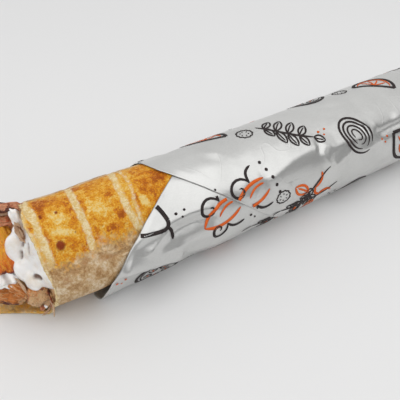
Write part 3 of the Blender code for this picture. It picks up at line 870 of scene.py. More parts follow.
    def toast(self, angle: float, x: float) -> float:
        """How browned a place is: the pressed upper face, a lighter one opposite and a trace between."""
        wander = rippled(self.toast_wander, x, angle)
        edge = along(self.browned_from, x)
        upper = smooth(angle + wander, edge + self.toast_spread[0], edge + self.toast_spread[1])
        upper *= 1.0 - smooth(angle + 0.4 * wander, *self.toast_ends)
        back = self.toasted_back[0] * bump(angle + 2.0 * wander, *self.toasted_back[1:])
        side = self.toasted_side[0] * bump(angle + 3.0 * wander, *self.toasted_side[1:])
        return max(upper, back, side)

    def surface(self, angle: float, x: float) -> float:
        """How far the skin stands out from its plain form: lumps, grooves, blister and wrinkles."""
        shrink, start, full = self.under_paper
        covered = smooth(x - self.roll.mouth_x(angle), start, full)
        if covered >= 1.0:
            return -shrink
        out = rippled(self.skin_lumps, x, angle) - self.groove * self.pressed(angle, x)
        out += self.blister_out * self.blister.at(x, angle)
        out += sum(wrinkle.at(x, angle) for wrinkle in self.wrinkles)
        return mix(out, -shrink, covered)

    def marked(self, angle: float, x: float, depth: float) -> Marks:
        """The marks at a place on the skin, or inside the bread where depth isn't 0.

        Args:
            angle: degrees round the roll.
            x: along the roll.
            depth: how far below the skin.

        Returns:
            Each mark's value.
        """
        if depth > 0.0:
            near = 1.0 - smooth(x, self.roll.rim_x(angle), self.roll.rim_x(angle) + self.inner_lip[0])
            lip = near * bump(angle, *self.inner_lip[1:])
            tone = self.inner_tone + rippled(self.inner_clouds, x, angle)
            pale = self.inner_pale[0] + self.inner_pale[1] * near * (1.0 - lip)
            return {"toast": self.inner_toast, "tone": tone, "stripe": pale}
        blister, drip = self.blister.at(x, angle), self.drip.at(x, angle)
        tone = self.plain_tone + sum(blot.at(x, angle) for blot in self.tones)
        tone += rippled(self.tone_clouds, x, angle)
        tone = max(tone, self.drip_tone * min(1.0, 1.6 * drip))
        near_rim = smooth(x, *self.rim_fade)
        smudge = sum(blot.at(x, angle) for blot in self.smudges)
        blistered = smooth(blister + rippled(self.blister_edge, x, angle), *self.blister_char)
        char = max(blistered, *(blot.at(x, angle) for blot in self.specks))
        pale = max(self.stripe(angle, x) * (1.0 - blister), 0.75 * near_rim)
        return {
            "toast": max(self.toast(angle, x) * (1.0 - 0.2 * near_rim), min(1.0, 1.5 * drip)),
            "tone": tone - 0.16 * near_rim,
            "stripe": pale - 0.5 * self.scorch.at(x, angle),
            "smudge": min(1.0, smudge),
            "char": min(1.0, char),
        }

    def curl(self, angle: float, x: float) -> float:
        """How far the tongue's front edge curls up off the table."""
        near = 1.0 - smooth(x, self.roll.rim_x(angle), self.roll.rim_x(angle) + self.curl_run)
        return self.curled[0] * bump(angle, *self.curled[1:]) * near

    def skin_point(self, ring: Station, angle: float, depth: float) -> Vector:
        """A point of the bread, depth below its outer surface.

        Args:
            ring: the ring across the roll.
            angle: degrees round the roll.
            depth: how far below the skin.

        Returns:
            The place, in metres.
        """
        radius = self.roll.bread_radius(angle, ring.x)
        if depth == 0.0:
            radius += self.surface(angle, ring.x)
        if ring.share < 1.0:
            sunk = self.roll.cover[1] + depth + self.end_gap
            return self.roll.place(ring.x - ring.normal_x * sunk, angle,
                                   (radius + self.roll.cover[1]) * ring.share - ring.normal_out * sunk)
        curl = self.curl(angle, ring.x)
        floor = self.roll.bread_floor(ring.x) + depth + curl
        return self.roll.place(ring.x, angle, radius - depth - curl, floor)

    def profile(self) -> list[tuple[str, float, float]]:
        """The rows of the bread: outside from its closed end to the rim, over it, and back inside.

        Returns:
            Each row's kind, its X, turn or share, and how far inwards it is.
        """
        tube_end = self.roll.far_end - self.roll.end_length
        tube = [*spaced(tube_end, self.fine_until, self.coarse_step),
                *spaced(self.fine_until, self.start_x, self.step), self.start_x]
        rim = [index / self.rim_rows for index in range(self.rim_rows)]
        rows = [("pole", 0.0, 0.0)] + [("end", turn, 0.0) for turn in reversed(self.end_turns)]
        rows += [("tube", x, 0.0) for x in tube] + [("rim", share, 0.0) for share in reversed(rim)]
        rows += [("lip", turn, 0.5 - 0.5 * math.cos(math.radians(turn))) for turn in self.lip_turns]
        rows += [("rim", share, 1.0) for share in rim]
        rows += [("tube", x, 1.0) for x in (*self.inner_rows, tube_end)]
        return rows + [("end", turn, 1.0) for turn in self.end_turns] + [("pole", 0.0, 1.0)]

    def build(self) -> bpy.types.Object:
        """Makes the bread in place of its plain solid."""
        rows = self.profile()

        def point(column: int, row: int) -> tuple[Vector, Marks]:
            """The bread's corner at a column and row, with its marks."""
            kind, value, inwards = rows[row]
            angle = 180.0 - 360.0 * column / self.columns
            if kind == "pole":
                wall = self.roll.wall[1] * inwards
                return Vector((self.pole_x - wall, self.roll.axis_y, self.roll.axis_z)) * MM, {}
            if kind == "end":
                ring = self.roll.end_ring(value)
            elif kind == "tube":
                ring = Station(value)
            else:
                nibble = 0.35 * rough(angle * 0.3, 2.0) + 0.25 * rough(angle * 0.9, 5.0)
                if kind == "lip":
                    swell = self.lip_swell * math.sin(math.radians(value))
                    ring = Station(self.roll.rim_x(angle) - swell + nibble)
                else:
                    edge = self.roll.rim_x(angle) + nibble
                    ring = Station(mix(edge, self.start_x, value))
            depth = self.roll.bread_wall(ring.x) * inwards
            return self.skin_point(ring, angle, depth), self.marked(angle, ring.x, depth)

        grid = RolledGrid(self.columns, len(rows) - 1, ("toast", "tone", "stripe", "smudge", "char"))
        bread = finish_mesh(grid.build(point), "grilled_flatbread", self.finish.build())
        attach(bread, "root")
        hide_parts("saj_bread")
        return bread


# --- the filling ---
@dataclass(frozen=True)
class Scoop:
    """A hollow in the sauce, or a ridge where deep is below 0: its line, half width, depth, and the painted
    shade in the hollow, with a little juice tint.
    """

    line: tuple[Spot, ...]
    half_width: float
    deep: float
    oil: float = 0.0

    def at(self, spot: Vector, way: Vector) -> float:
        """1 along its line and 0 outside, seen along the way that it is sunk.

        Args:
            spot: the place, in millimetres.
            way: the way the sauce was scooped.

        Returns:
            A share from 0 to 1.
        """
        nearest = self.half_width
        for first, second in zip(self.line, self.line[1:]):
            away, run = spot - Vector(first), Vector(second) - Vector(first)
            away, run = away - way * away.dot(way), run - way * run.dot(way)
            share = min(1.0, max(0.0, away.dot(run) / max(run.length_squared, 1e-6)))
            nearest = min(nearest, (away - run * share).length)
        share = (nearest / self.half_width) ** 2
        return (1.0 - share) ** 2


@dataclass
class Filling:
    """The chicken bed and the garlic sauce, which run along inside the bread to a sloping face."""

    roll: RollShape
    columns: int = 150
    face_rise: float = 0.35
    face_turn: float = 0.4
    opening: Spot = (8.0, 100.0, 80.0)
    sauce_angle: float = 17.0
    sauce_region: tuple[tuple[float, ...], ...] = (
        (-160, 10.5, 6.5, 15.5, 18.3), (-118, 10.5, 6.5, 15.5, 18.3), (-108, 12.5, 5, 18.5, 16),
        (-88, 20, 2, 21, 8), (-60, 20.5, 0, 20, 6.5), (60, 20.5, 0, 18, 6),
        (118, 21, 0, 15, 5))
    sauce_tip: float = -130.0
    bed_tip: float = -126.0
    face_rows: int = 44
    side_rows: tuple[float, ...] = (-120, -118, -114, -110, -106, -100, -90, -75, -60,
                                    -48, -35, 0, 60, 100, 117)
    closed_x: float = 118.5
    measured_from: float = -124.0
    face_lean: Flat = (-118.0, -90.0)
    bed_size: float = 40.0
    voxel: float = 0.8
    scooped_x: float = -112.0
    sauce_swell: Ripples = ((1.2, 0.1, 0.1, 3.0),)
    sauce_dents: Ripples = ((0.25, 0.16, 0.16, 5.0),)
    plain_juice: float = 0.03
    chunks: Flat = (0.13, 2.0)
    chunk_clouds: Ripples = ((0.6, 0.5, 0.5, 2.0),)
    soften: int = 4
    scooped_along: Spot = (-0.47, -0.6, 0.65)
    lobes: tuple[tuple[Spot, Spot, Spot], ...] = (
        ((-129.8, 4.8, 36), (-0.12, -0.2, -0.98), (8.5, 5.2, 3.2)),
        ((-129.6, -0.6, 27.2), (-0.1, -0.45, -0.88), (7, 5.2, 3.2)),
        ((-127.6, -6.8, 24), (0.1, -0.9, -0.3), (6, 4.4, 2.8)),
        ((-125.6, 7.2, 42.6), (0.2, -0.5, -0.8), (4.5, 3.4, 2.4)),
    )
    # Each scoop's last number paints shade into its hollow, with a little juice tint.
    scoops: tuple[Scoop, ...] = (
        Scoop(((-125.6, 3.1, 39.8), (-126, 2.9, 38.2)), 1.2, 1.8, 0.8),
        Scoop(((-126.4, 3.6, 36), (-126.9, 3.5, 34)), 1.4, 1.4, 0.3),
        Scoop(((-126.9, 3.4, 33.8), (-127.9, 2.6, 31.4)), 1.3, 2.2, 0.6),
        Scoop(((-124, 0.2, 40.6), (-124.9, -1.9, 36.6)), 1.3, 2, 0.6),
        Scoop(((-129, -0.3, 31.4), (-125.3, -3, 36.7), (-123.2, -5.2, 40.9)), 2.6, -1.2),
        Scoop(((-126.9, -8.4, 27.6), (-126.4, -10.4, 28.8), (-126, -12, 29)), 1.9, 3, 1.1),
        Scoop(((-128.8, 3, 29.6), (-127.4, 0.2, 32)), 3.6, 1, 0.12),
        Scoop(((-127.2, -5, 29.4), (-125.6, -8, 33.6)), 3.8, 1.4, 0.16),
        Scoop(((-130.4, -3.4, 20), (-128.6, -8, 22.4)), 2.4, -0.5, 0.25),
    )

    def room(self, angle: float, x: float) -> tuple[float, float]:
        """The room's radius and floor at a place: inside the bread, opening out past the rim."""
        spread = self.opening[0] * smooth(self.roll.rim_at - x, 1.0, 8.0) * bump(angle, *self.opening[1:])
        return self.roll.inside_radius(angle, x) + spread, self.roll.filling_floor(x)

    def inside(self, x: float, y: float, z: float) -> bool:
        """Whether a place is in the room inside the bread."""
        across, up = y - self.roll.axis_y, z - self.roll.axis_z
        radius, floor = self.room(math.degrees(math.atan2(up, -across)), x)
        return z > floor and math.hypot(across, up) < radius

    def reach(self, x: float, centre: Flat, way: Flat, most: float) -> float:
        """How far the room goes from a centre in a direction across the roll, up to most.

        Args:
            x: along the roll.
            centre: (y, z) to start from.
            way: (y, z) of the direction, of length 1.
            most: the furthest wanted.

        Returns:
            The distance, in millimetres.
        """
        if self.inside(x, centre[0] + way[0] * most, centre[1] + way[1] * most):
            return most
        low, high = 0.0, most
        for _ in range(11):
            half = (low + high) / 2.0
            if self.inside(x, centre[0] + way[0] * half, centre[1] + way[1] * half):
                low = half
            else:
                high = half
        return low

    def leaned(self, x: float, y: float, z: float) -> float:
        """X leaned so that the face slopes out towards its foot and its back."""
        rise, turn = self.face_rise * (z - self.roll.axis_z), self.face_turn * (y - self.roll.axis_y)
        return x + (1.0 - smooth(x, *self.face_lean)) * (rise - turn)

    def plug(self, name: str, tip: float, material: bpy.types.Material,
             section: Callable[[float], tuple[Flat, float, float]], relief: Callable[[float, float], float],
             depth: float = 5.0) -> bpy.types.Object:
        """Builds a filling from the closed end to its face.

        Args:
            name: the piece's name.
            tip: X of the middle of its face, before it leans.
            material: what it is made of.
            section: gives the centre and the half width and thickness at X.
            relief: gives how far the face stands out at (y, z).
            depth: length over which the face rounds into the side.

        Returns:
            The object.
        """
        shares = [index / self.face_rows for index in range(self.face_rows + 1)]
        face = [(tip + depth * (1.0 - math.sqrt(max(0.0, 1.0 - share ** 3))), share) for share in shares]
        side = [(x, 1.0) for x in (tip + depth + 1.5, *self.side_rows) if x > tip + depth + 1.0]
        rows = [*face, *side, (self.closed_x, 0.0)]
        lean = math.radians(self.sauce_angle)
        outwards = (-math.cos(lean), math.sin(lean))
        around = (math.sin(lean), math.cos(lean))
        edges: dict[tuple[int, float], float] = {}

        def point(column: int, row: int) -> tuple[Vector, Marks]:
            """A corner of the plug, with its marks."""
            x, share = rows[row]
            centre, half_width, half_thickness = section(x)
            turn = math.tau * column / self.columns
            across, through = half_width * math.sin(turn), half_thickness * math.cos(turn)
            way = (outwards[0] * through + around[0] * across, outwards[1] * through + around[1] * across)
            most = math.hypot(*way)
            way = (way[0] / most, way[1] / most)
            measured = max(x, self.measured_from) if row < len(face) else x
            key = (column, measured)
            if key not in edges:
                edges[key] = self.reach(measured, centre, way, most)
            y, z = (centre[axis] + way[axis] * edges[key] * share for axis in range(2))
            near = 1.0 - smooth(x, tip + depth * 0.7, tip + depth + 1.0)
            return Vector((self.leaned(x, y, z) - relief(y, z) * near, y, z)) * MM, {}

        grid = RolledGrid(self.columns, len(rows) - 1, ("oil", "sear", "dark"))
        return finish_mesh(grid.build(point), name, material)

    def sauce_section(self, x: float) -> tuple[Flat, float, float]:
        """The sauce's centre and half sizes at X."""
        away, shift, half_width, half_thickness = (
            along([(row[0], row[part]) for row in self.sauce_region], x) for part in range(1, 5))
        lean = math.radians(self.sauce_angle)
        centre = (self.roll.axis_y - away * math.cos(lean) + shift * math.sin(lean),
                  self.roll.axis_z + away * math.sin(lean) + shift * math.cos(lean))
        return centre, half_width, half_thickness

    def bed_section(self, x: float) -> tuple[Flat, float, float]:
        """The chicken bed's centre and half sizes, larger than the room so that the room bounds it."""
        return (self.roll.axis_y + 1.0, self.roll.axis_z), self.bed_size, self.bed_size

    def sauce_relief(self, y: float, z: float) -> float:
        """How the sauce's face swells and sinks."""
        return rippled(self.sauce_swell, y, z)

    def bed_relief(self, y: float, z: float) -> float:
        """How the chicken bed's face breaks into chunks."""
        scale, height = self.chunks
        cell = noise.voronoi(Vector((y * scale, z * scale, 1.0)))[0]
        return height * (cell[1] - cell[0]) - 0.5 * height + rippled(self.chunk_clouds, y, z)

    def flowed(self, sauce: bpy.types.Object) -> None:
        """Runs the sauce's bed and lobes into one soft body, then draws the scoops into it and paints shade
        into their hollows.

        Args:
            sauce: the bed with its lobes, whose mesh is changed.
        """
        melt = sauce.modifiers.new("run_together", "REMESH")
        melt.mode = "VOXEL"
        melt.voxel_size = self.voxel * MM
        bpy.context.view_layer.update()
        evaluated = sauce.evaluated_get(bpy.context.evaluated_depsgraph_get())
        bm = bmesh.new()
        bm.from_mesh(evaluated.to_mesh())
        evaluated.to_mesh_clear()
        sauce.modifiers.remove(melt)
        for _ in range(self.soften):
            bmesh.ops.smooth_vert(bm, verts=bm.verts, factor=0.5, use_axis_x=True, use_axis_y=True,
                                  use_axis_z=True)
        bmesh.ops.recalc_face_normals(bm, faces=bm.faces)
        oil = bm.verts.layers.float.new("oil")
        way = Vector(self.scooped_along).normalized()
        for vert in bm.verts:
            spot = vert.co / MM
            if spot.x > self.scooped_x or vert.normal.dot(way) < 0.0:
                continue
            sunk, juice = rippled(self.sauce_dents, spot.y, spot.z), self.plain_juice
            for scoop in self.scoops:
                here = scoop.at(spot, way)
                sunk += scoop.deep * here
                # Each scoop paints shade into its hollow.
                juice += scoop.oil * here
            vert.co -= way * sunk * smooth(vert.normal.dot(way), 0.0, 0.4) * MM
            vert[oil] = juice
        bm.to_mesh(sauce.data)
        bm.free()
        sauce.data.shade_smooth()

    def build(self, chicken: bpy.types.Material, sauce: bpy.types.Material) -> list[bpy.types.Object]:
        """Makes both fillings in place of their plain solids.

        Args:
            chicken: the bed's material.
            sauce: the sauce's material.

        Returns:
            The bed and the sauce.
        """
        bed = self.plug("chicken_bed", self.bed_tip, chicken, self.bed_section, self.bed_relief)
        spread = self.plug("garlic_sauce_bed", self.sauce_tip, sauce, self.sauce_section, self.sauce_relief)
        bm = bmesh.new()
        bm.from_mesh(spread.data)
        for centre, length_way, half_sizes in self.lobes:
            turn = facing(length_way, self.scooped_along)
            stretch = Matrix.Diagonal((*half_sizes, 1.0 / MM))
            shape = Matrix.Translation(Vector(centre) * MM) @ turn @ stretch * MM
            bmesh.ops.create_icosphere(bm, subdivisions=3, radius=1.0, matrix=shape)
        bm.to_mesh(spread.data)
        bm.free()
        self.flowed(spread)
        for made, node, slot in ((bed, "chicken_filling", "grilled_chicken"),
                                 (spread, "garlic_sauce", "garlic_sauce")):
            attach(made, "root")
            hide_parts(node)
        return [bed, spread]


class Stuff(Enum):
    """What a loose piece at the open end is made of, each with its finish."""

    GOLDEN = "golden_chicken"
    ROASTED = "roasted_chicken"
    CHARRED = "charred_chicken"
    SPICED = "spiced_chicken"
    PALE = "pale_chicken"
    SAUCE = "garlic_sauce"


@dataclass(frozen=True)
class Lump:
    """A loose piece: centre, direction of its length, way it faces, half sizes and how uneven it is."""

    name: str
    node: str
    stuff: Stuff
    slot: str
    centre: Spot
    length_way: Spot
    face_way: Spot
    half_sizes: Spot
    lumps: float
    seed: int
    sear_face: float = 0.0
    sear_end: float = 0.0
    dark_edge: float = 0.0
    ridges: float = 0.35
    dark_end: float = 0.0
    bend: float = 0.0


@dataclass
class LoosePieces:
    """The separate pieces of chicken, shreds and dabs of sauce at the open end."""

    roll: RollShape
    lumps: tuple[Lump, ...] = (
        Lump("golden_chicken_piece", "chicken_golden_piece", Stuff.GOLDEN, "grilled_chicken",
             (-138.3, 14.8, 33.6), (0.06, -0.74, -0.66), (-0.5, -0.55, 0.6), (16.6, 9.6, 4.9), 0.3, 0, 0.1,
             1.15, 0, 0.4, 1.5),
        Lump("charred_chicken_strip", "chicken_charred_strip", Stuff.CHARRED, "charred_chicken",
             (-128.4, 15.8, 53.6), (-0.9, 0.35, 0.08), (0, -0.3, 1), (10.4, 2.2, 1.2), 0.5, 1, 0.6, 0.2,
             1.7, 0.6),
        Lump("red_chicken_strip", "chicken_red_strip", Stuff.SPICED, "spiced_chicken", (-132.4, 18.2, 45.7),
             (-0.95, 0.28, -0.04), (0, -0.5, 0.85), (8.8, 3.4, 2.1), 0.5, 2, 0.6, 0.2, 0.4, 0.8),
        Lump("pulled_chicken_shred", "chicken_shred", Stuff.PALE, "spiced_chicken", (-125.8, 4.2, 45.4),
             (0.12, -0.55, -0.82), (-0.6, -0.5, 0.6), (4.4, 1.4, 1.1), 0.5, 3, 0.3, 0.3, 0.9, 0.4),
        Lump("round_chicken_chunk", "chicken_round_chunk", Stuff.ROASTED, "grilled_chicken",
             (-126.6, -7.1, 16.2), (-0.3, -0.9, 0.2), (-0.6, -0.4, 0.7), (7.4, 6.8, 5.4), 0.25, 4, 1.4,
             -0.6, 1.2, 0.35),
        Lump("low_chicken_piece", "chicken_low_piece", Stuff.ROASTED, "grilled_chicken",
             (-140.3, 2.4, 11.3), (-0.8, 0.6, 0.05), (-0.2, -0.6, 0.8), (9.5, 4.5, 2.9), 0.35, 5, 1, 0.2,
             0.9, 0.5),
        Lump("thin_chicken_shred", "chicken_thin_shred", Stuff.ROASTED, "grilled_chicken",
             (-135.3, -3, 18.8), (0.55, -0.6, -0.55), (-0.5, -0.5, 0.7), (5, 2.1, 1.5), 0.4, 6, 1.2, 0.3,
             0.4, 0.4),
        Lump("garlic_sauce_dab", "garlic_sauce_dollop", Stuff.SAUCE, "garlic_sauce", (-138.5, 3.9, 21.2),
             (-0.7, 0.6, -0.3), (-0.3, -0.5, 0.8), (6.5, 4.7, 3.5), 0.3, 7, 0.9, ridges=0.4),
        Lump("garlic_sauce_smear_top", "", Stuff.SAUCE, "garlic_sauce", (-124.6, 10.6, 48.8),
             (0.1, -0.45, -0.85), (-0.6, -0.6, 0.5), (5, 2.3, 1.9), 0.25, 8, ridges=0.25),
        Lump("pale_chicken_slice", "", Stuff.PALE, "spiced_chicken", (-130.6, 17.6, 49.6), (-0.95, 0.3, 0),
             (0, -0.5, 0.85), (6, 1.4, 0.9), 0.4, 9, 0.2, 0.2, 0.3, 0.4),
        Lump("garlic_sauce_smear_low", "", Stuff.SAUCE, "garlic_sauce", (-127.1, -15, 12.4),
             (0.4, -0.7, -0.1), (-0.6, -0.5, 0.6), (0.8, 0.5, 0.4), 0.4, 10, ridges=0.3),
        Lump("tan_chicken_shred", "", Stuff.ROASTED, "grilled_chicken", (-135.3, -5.3, 16.6),
             (0.56, -0.8, -0.05), (-0.5, -0.4, 0.8), (4.6, 1.1, 0.8), 0.5, 11, 0.9, 0.2, 0.3, 0.4,
             bend=0.2),
        Lump("dark_chicken_bit", "", Stuff.CHARRED, "charred_chicken", (-128.2, -12.9, 11),
             (-0.3, -0.8, 0.1), (-0.5, -0.5, 0.7), (2.3, 1.1, 0.9), 0.5, 12, 0.9, 0.4, 1.2, 0.4),
        Lump("curled_chicken_shred", "", Stuff.PALE, "grilled_chicken", (-133.3, -4.2, 22),
             (0.27, -0.6, -0.76), (-0.5, -0.4, 0.8), (4.2, 0.6, 0.4), 0.5, 13, 0.1, 0.1, 0.1, 0.3,
             bend=0.3),
        Lump("browned_chicken_edge", "", Stuff.CHARRED, "grilled_chicken", (-123.9, -13.6, 17.7),
             (-0.05, -0.55, -0.83), (-0.9, -0.3, 0.3), (6.6, 0.8, 0.6), 0.4, 14, 1.4, 0.3, 1, 0.3),
        Lump("torn_bread_flake", "", Stuff.PALE, "grilled_bread", (-124.4, -18, 13), (-0.1, -0.5, -0.86),
             (-0.7, -0.6, 0.3), (3.8, 0.45, 0.3), 0.5, 15, 0.1, 0.2, 0.2, 0.2, bend=0.2),
        Lump("small_bread_flake", "", Stuff.PALE, "grilled_bread", (-127, -16, 9.8), (-0.7, -0.6, 0.2),
             (-0.5, -0.4, 0.7), (3.6, 0.5, 0.35), 0.5, 16, 0.1, 0.3, 0.3, 0.2, bend=0.2),
    )

    level: int = 5
    boxiness: float = 3.0
    uneven_waves: float = 1.7
    stretched: Flat = (0.18, 0.5)
    fibre_waves: Flat = (0.9, 0.75)
    fine_waves: Flat = (2.0, 1.7)
    soft_waves: float = 0.3
    juice_waves: float = 0.2
    dark_tip: Flat = (0.72, 1.0)
    tongue_x: float = -140.0
    off_bread: float = 1.5
    flattened: float = 0.15

    @staticmethod
    def streaks(spot: Vector, stretch: float, waves: Flat, layer: float) -> float:
        """Noise drawn out along a piece, with waves to a millimetre along it and across it."""
        return rough(spot.x * stretch * waves[0], spot.y * waves[1], spot.z * waves[1] + layer)

    def lump_mesh(self, lump: Lump) -> bmesh.types.BMesh:
        """An uneven lump with fibres along it, at its place.

        Args:
            lump: what the piece is like.

        Returns:
            The shape, in metres, with its marks.
        """
        bm = bmesh.new()
        bmesh.ops.create_icosphere(bm, subdivisions=self.level, radius=1.0)
        lie = bm.verts.layers.float_vector.new("lie")
        sear, dark = bm.verts.layers.float.new("sear"), bm.verts.layers.float.new("dark")
        oil = bm.verts.layers.float.new("oil")
        half = lump.half_sizes
        stretch, waves = self.stretched[lump.stuff is Stuff.SAUCE], self.soft_waves
        for vert in bm.verts:
            way = vert.co.normalized()
            boxy = sum(abs(part) ** self.boxiness for part in way) ** (-1.0 / self.boxiness)
            shifted = way * self.uneven_waves + Vector((lump.seed * 5.3, lump.seed * 1.9, 0.0))
            uneven = 1.0 + lump.lumps * noise.noise(shifted)
            spot = Vector([way[axis] * boxy * uneven * half[axis] for axis in range(3)])
            fibre = self.streaks(spot, stretch, self.fibre_waves, lump.seed * 3.0)
            fine = self.streaks(spot, stretch, self.fine_waves, lump.seed * 5.0)
            soft = rough(spot.x * waves, spot.y * waves + lump.seed, spot.z * waves)
            spot += way * lump.ridges * (fibre + 0.5 * fine + 0.8 * soft)
            spot.z += lump.bend * spot.x * spot.x / half[0]
            vert[lie] = spot + Vector((0.0, lump.seed * 7.0, 0.0))
            end = spot.x / half[0]
            vert[sear] = lump.sear_face * (0.5 + 0.5 * way.z) + lump.sear_end * (0.3 + 0.6 * end)
            rim = abs(way.y) ** 3
            # Darker on the seared rim and bulges, and in the fibres' grooves, where the darkening is painted
            # shade.
            vert[dark] = lump.dark_edge * (rim * 0.8 + 0.35 * max(0.0, soft) + 0.25 * max(0.0, -fibre))
            vert[dark] += lump.dark_end * smooth(end, *self.dark_tip)
            juice = 0.25 + lump.sear_face
            pool = rough(spot.x * self.juice_waves, spot.y * self.juice_waves, 3.0 + lump.seed)
            vert[oil] = 0.1 + juice * max(0.0, pool)
            vert.co = spot
        turn = facing(lump.length_way, lump.face_way)
        bm.transform(Matrix.Scale(MM, 4) @ Matrix.Translation(lump.centre) @ turn)
        low = (self.roll.bread_floor(self.tongue_x) + self.off_bread) * MM
        for vert in bm.verts:
            if vert.co.z < low:
                vert.co.z = low - self.flattened * (low - vert.co.z)
        return bm

    def build(self, materials: dict[Stuff, bpy.types.Material]) -> list[bpy.types.Object]:
        """Makes every loose piece, in place of its plain solid where it has one.

        Args:
            materials: the material of each stuff.

        Returns:
            The pieces, in the order of lumps.
        """
        made = []
        for lump in self.lumps:
            piece = finish_mesh(self.lump_mesh(lump), lump.name, materials[lump.stuff])
            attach(piece, "root")
            if lump.node:
                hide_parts(lump.node)
            made.append(piece)
        return made


# --- the paper ---
@dataclass(frozen=True)
class Fold:
    """A crease along places (X, wound): how far out it stands, its sides' widths, and its fading ends."""

    line: tuple[Flat, ...]
    out: float
    up_side: float
    down_side: float
    fade: float = 8.0
    margins: Flat = (14.0, 28.0)

    def near(self, x: float, wound: float) -> bool:
        """Whether a place may be on it."""
        all_x, all_wound = zip(*self.line)
        return (min(all_x) - self.margins[0] < x < max(all_x) + self.margins[0]
                and min(all_wound) - self.margins[1] < wound < max(all_wound) + self.margins[1])

    def at(self, x: float, wound: float, per_degree: float) -> float:
        """How far it lifts the sheet at a place.

        Args:
            x: along the roll.
            wound: degrees that the sheet is wound.
            per_degree: millimetres to a degree.

        Returns:
            The lift, in millimetres.
        """
        nearest, side, ahead, done = 1e9, 0.0, 0.0, 0.0
        for (x0, wound0), (x1, wound1) in zip(self.line, self.line[1:]):
            run_x, run_y = x1 - x0, (wound1 - wound0) * per_degree
            away_x, away_y = x - x0, (wound - wound0) * per_degree
            length = math.hypot(run_x, run_y)
            share = min(1.0, max(0.0, (away_x * run_x + away_y * run_y) / length ** 2))
            gap = math.hypot(away_x - run_x * share, away_y - run_y * share)
            if gap < nearest:
                nearest, side, ahead = gap, away_y * run_x - away_x * run_y, done + share * length
            done += length
        close = 1.0 - nearest / (self.down_side if side > 0.0 else self.up_side)
        if close <= 0.0:
            return 0.0
        fade = min(self.fade, 0.5 * done)
        held = smooth(ahead, 0.0, fade) * (1.0 - smooth(ahead, done - fade, done))
        return self.out * held * close * (0.55 + 0.45 * close)


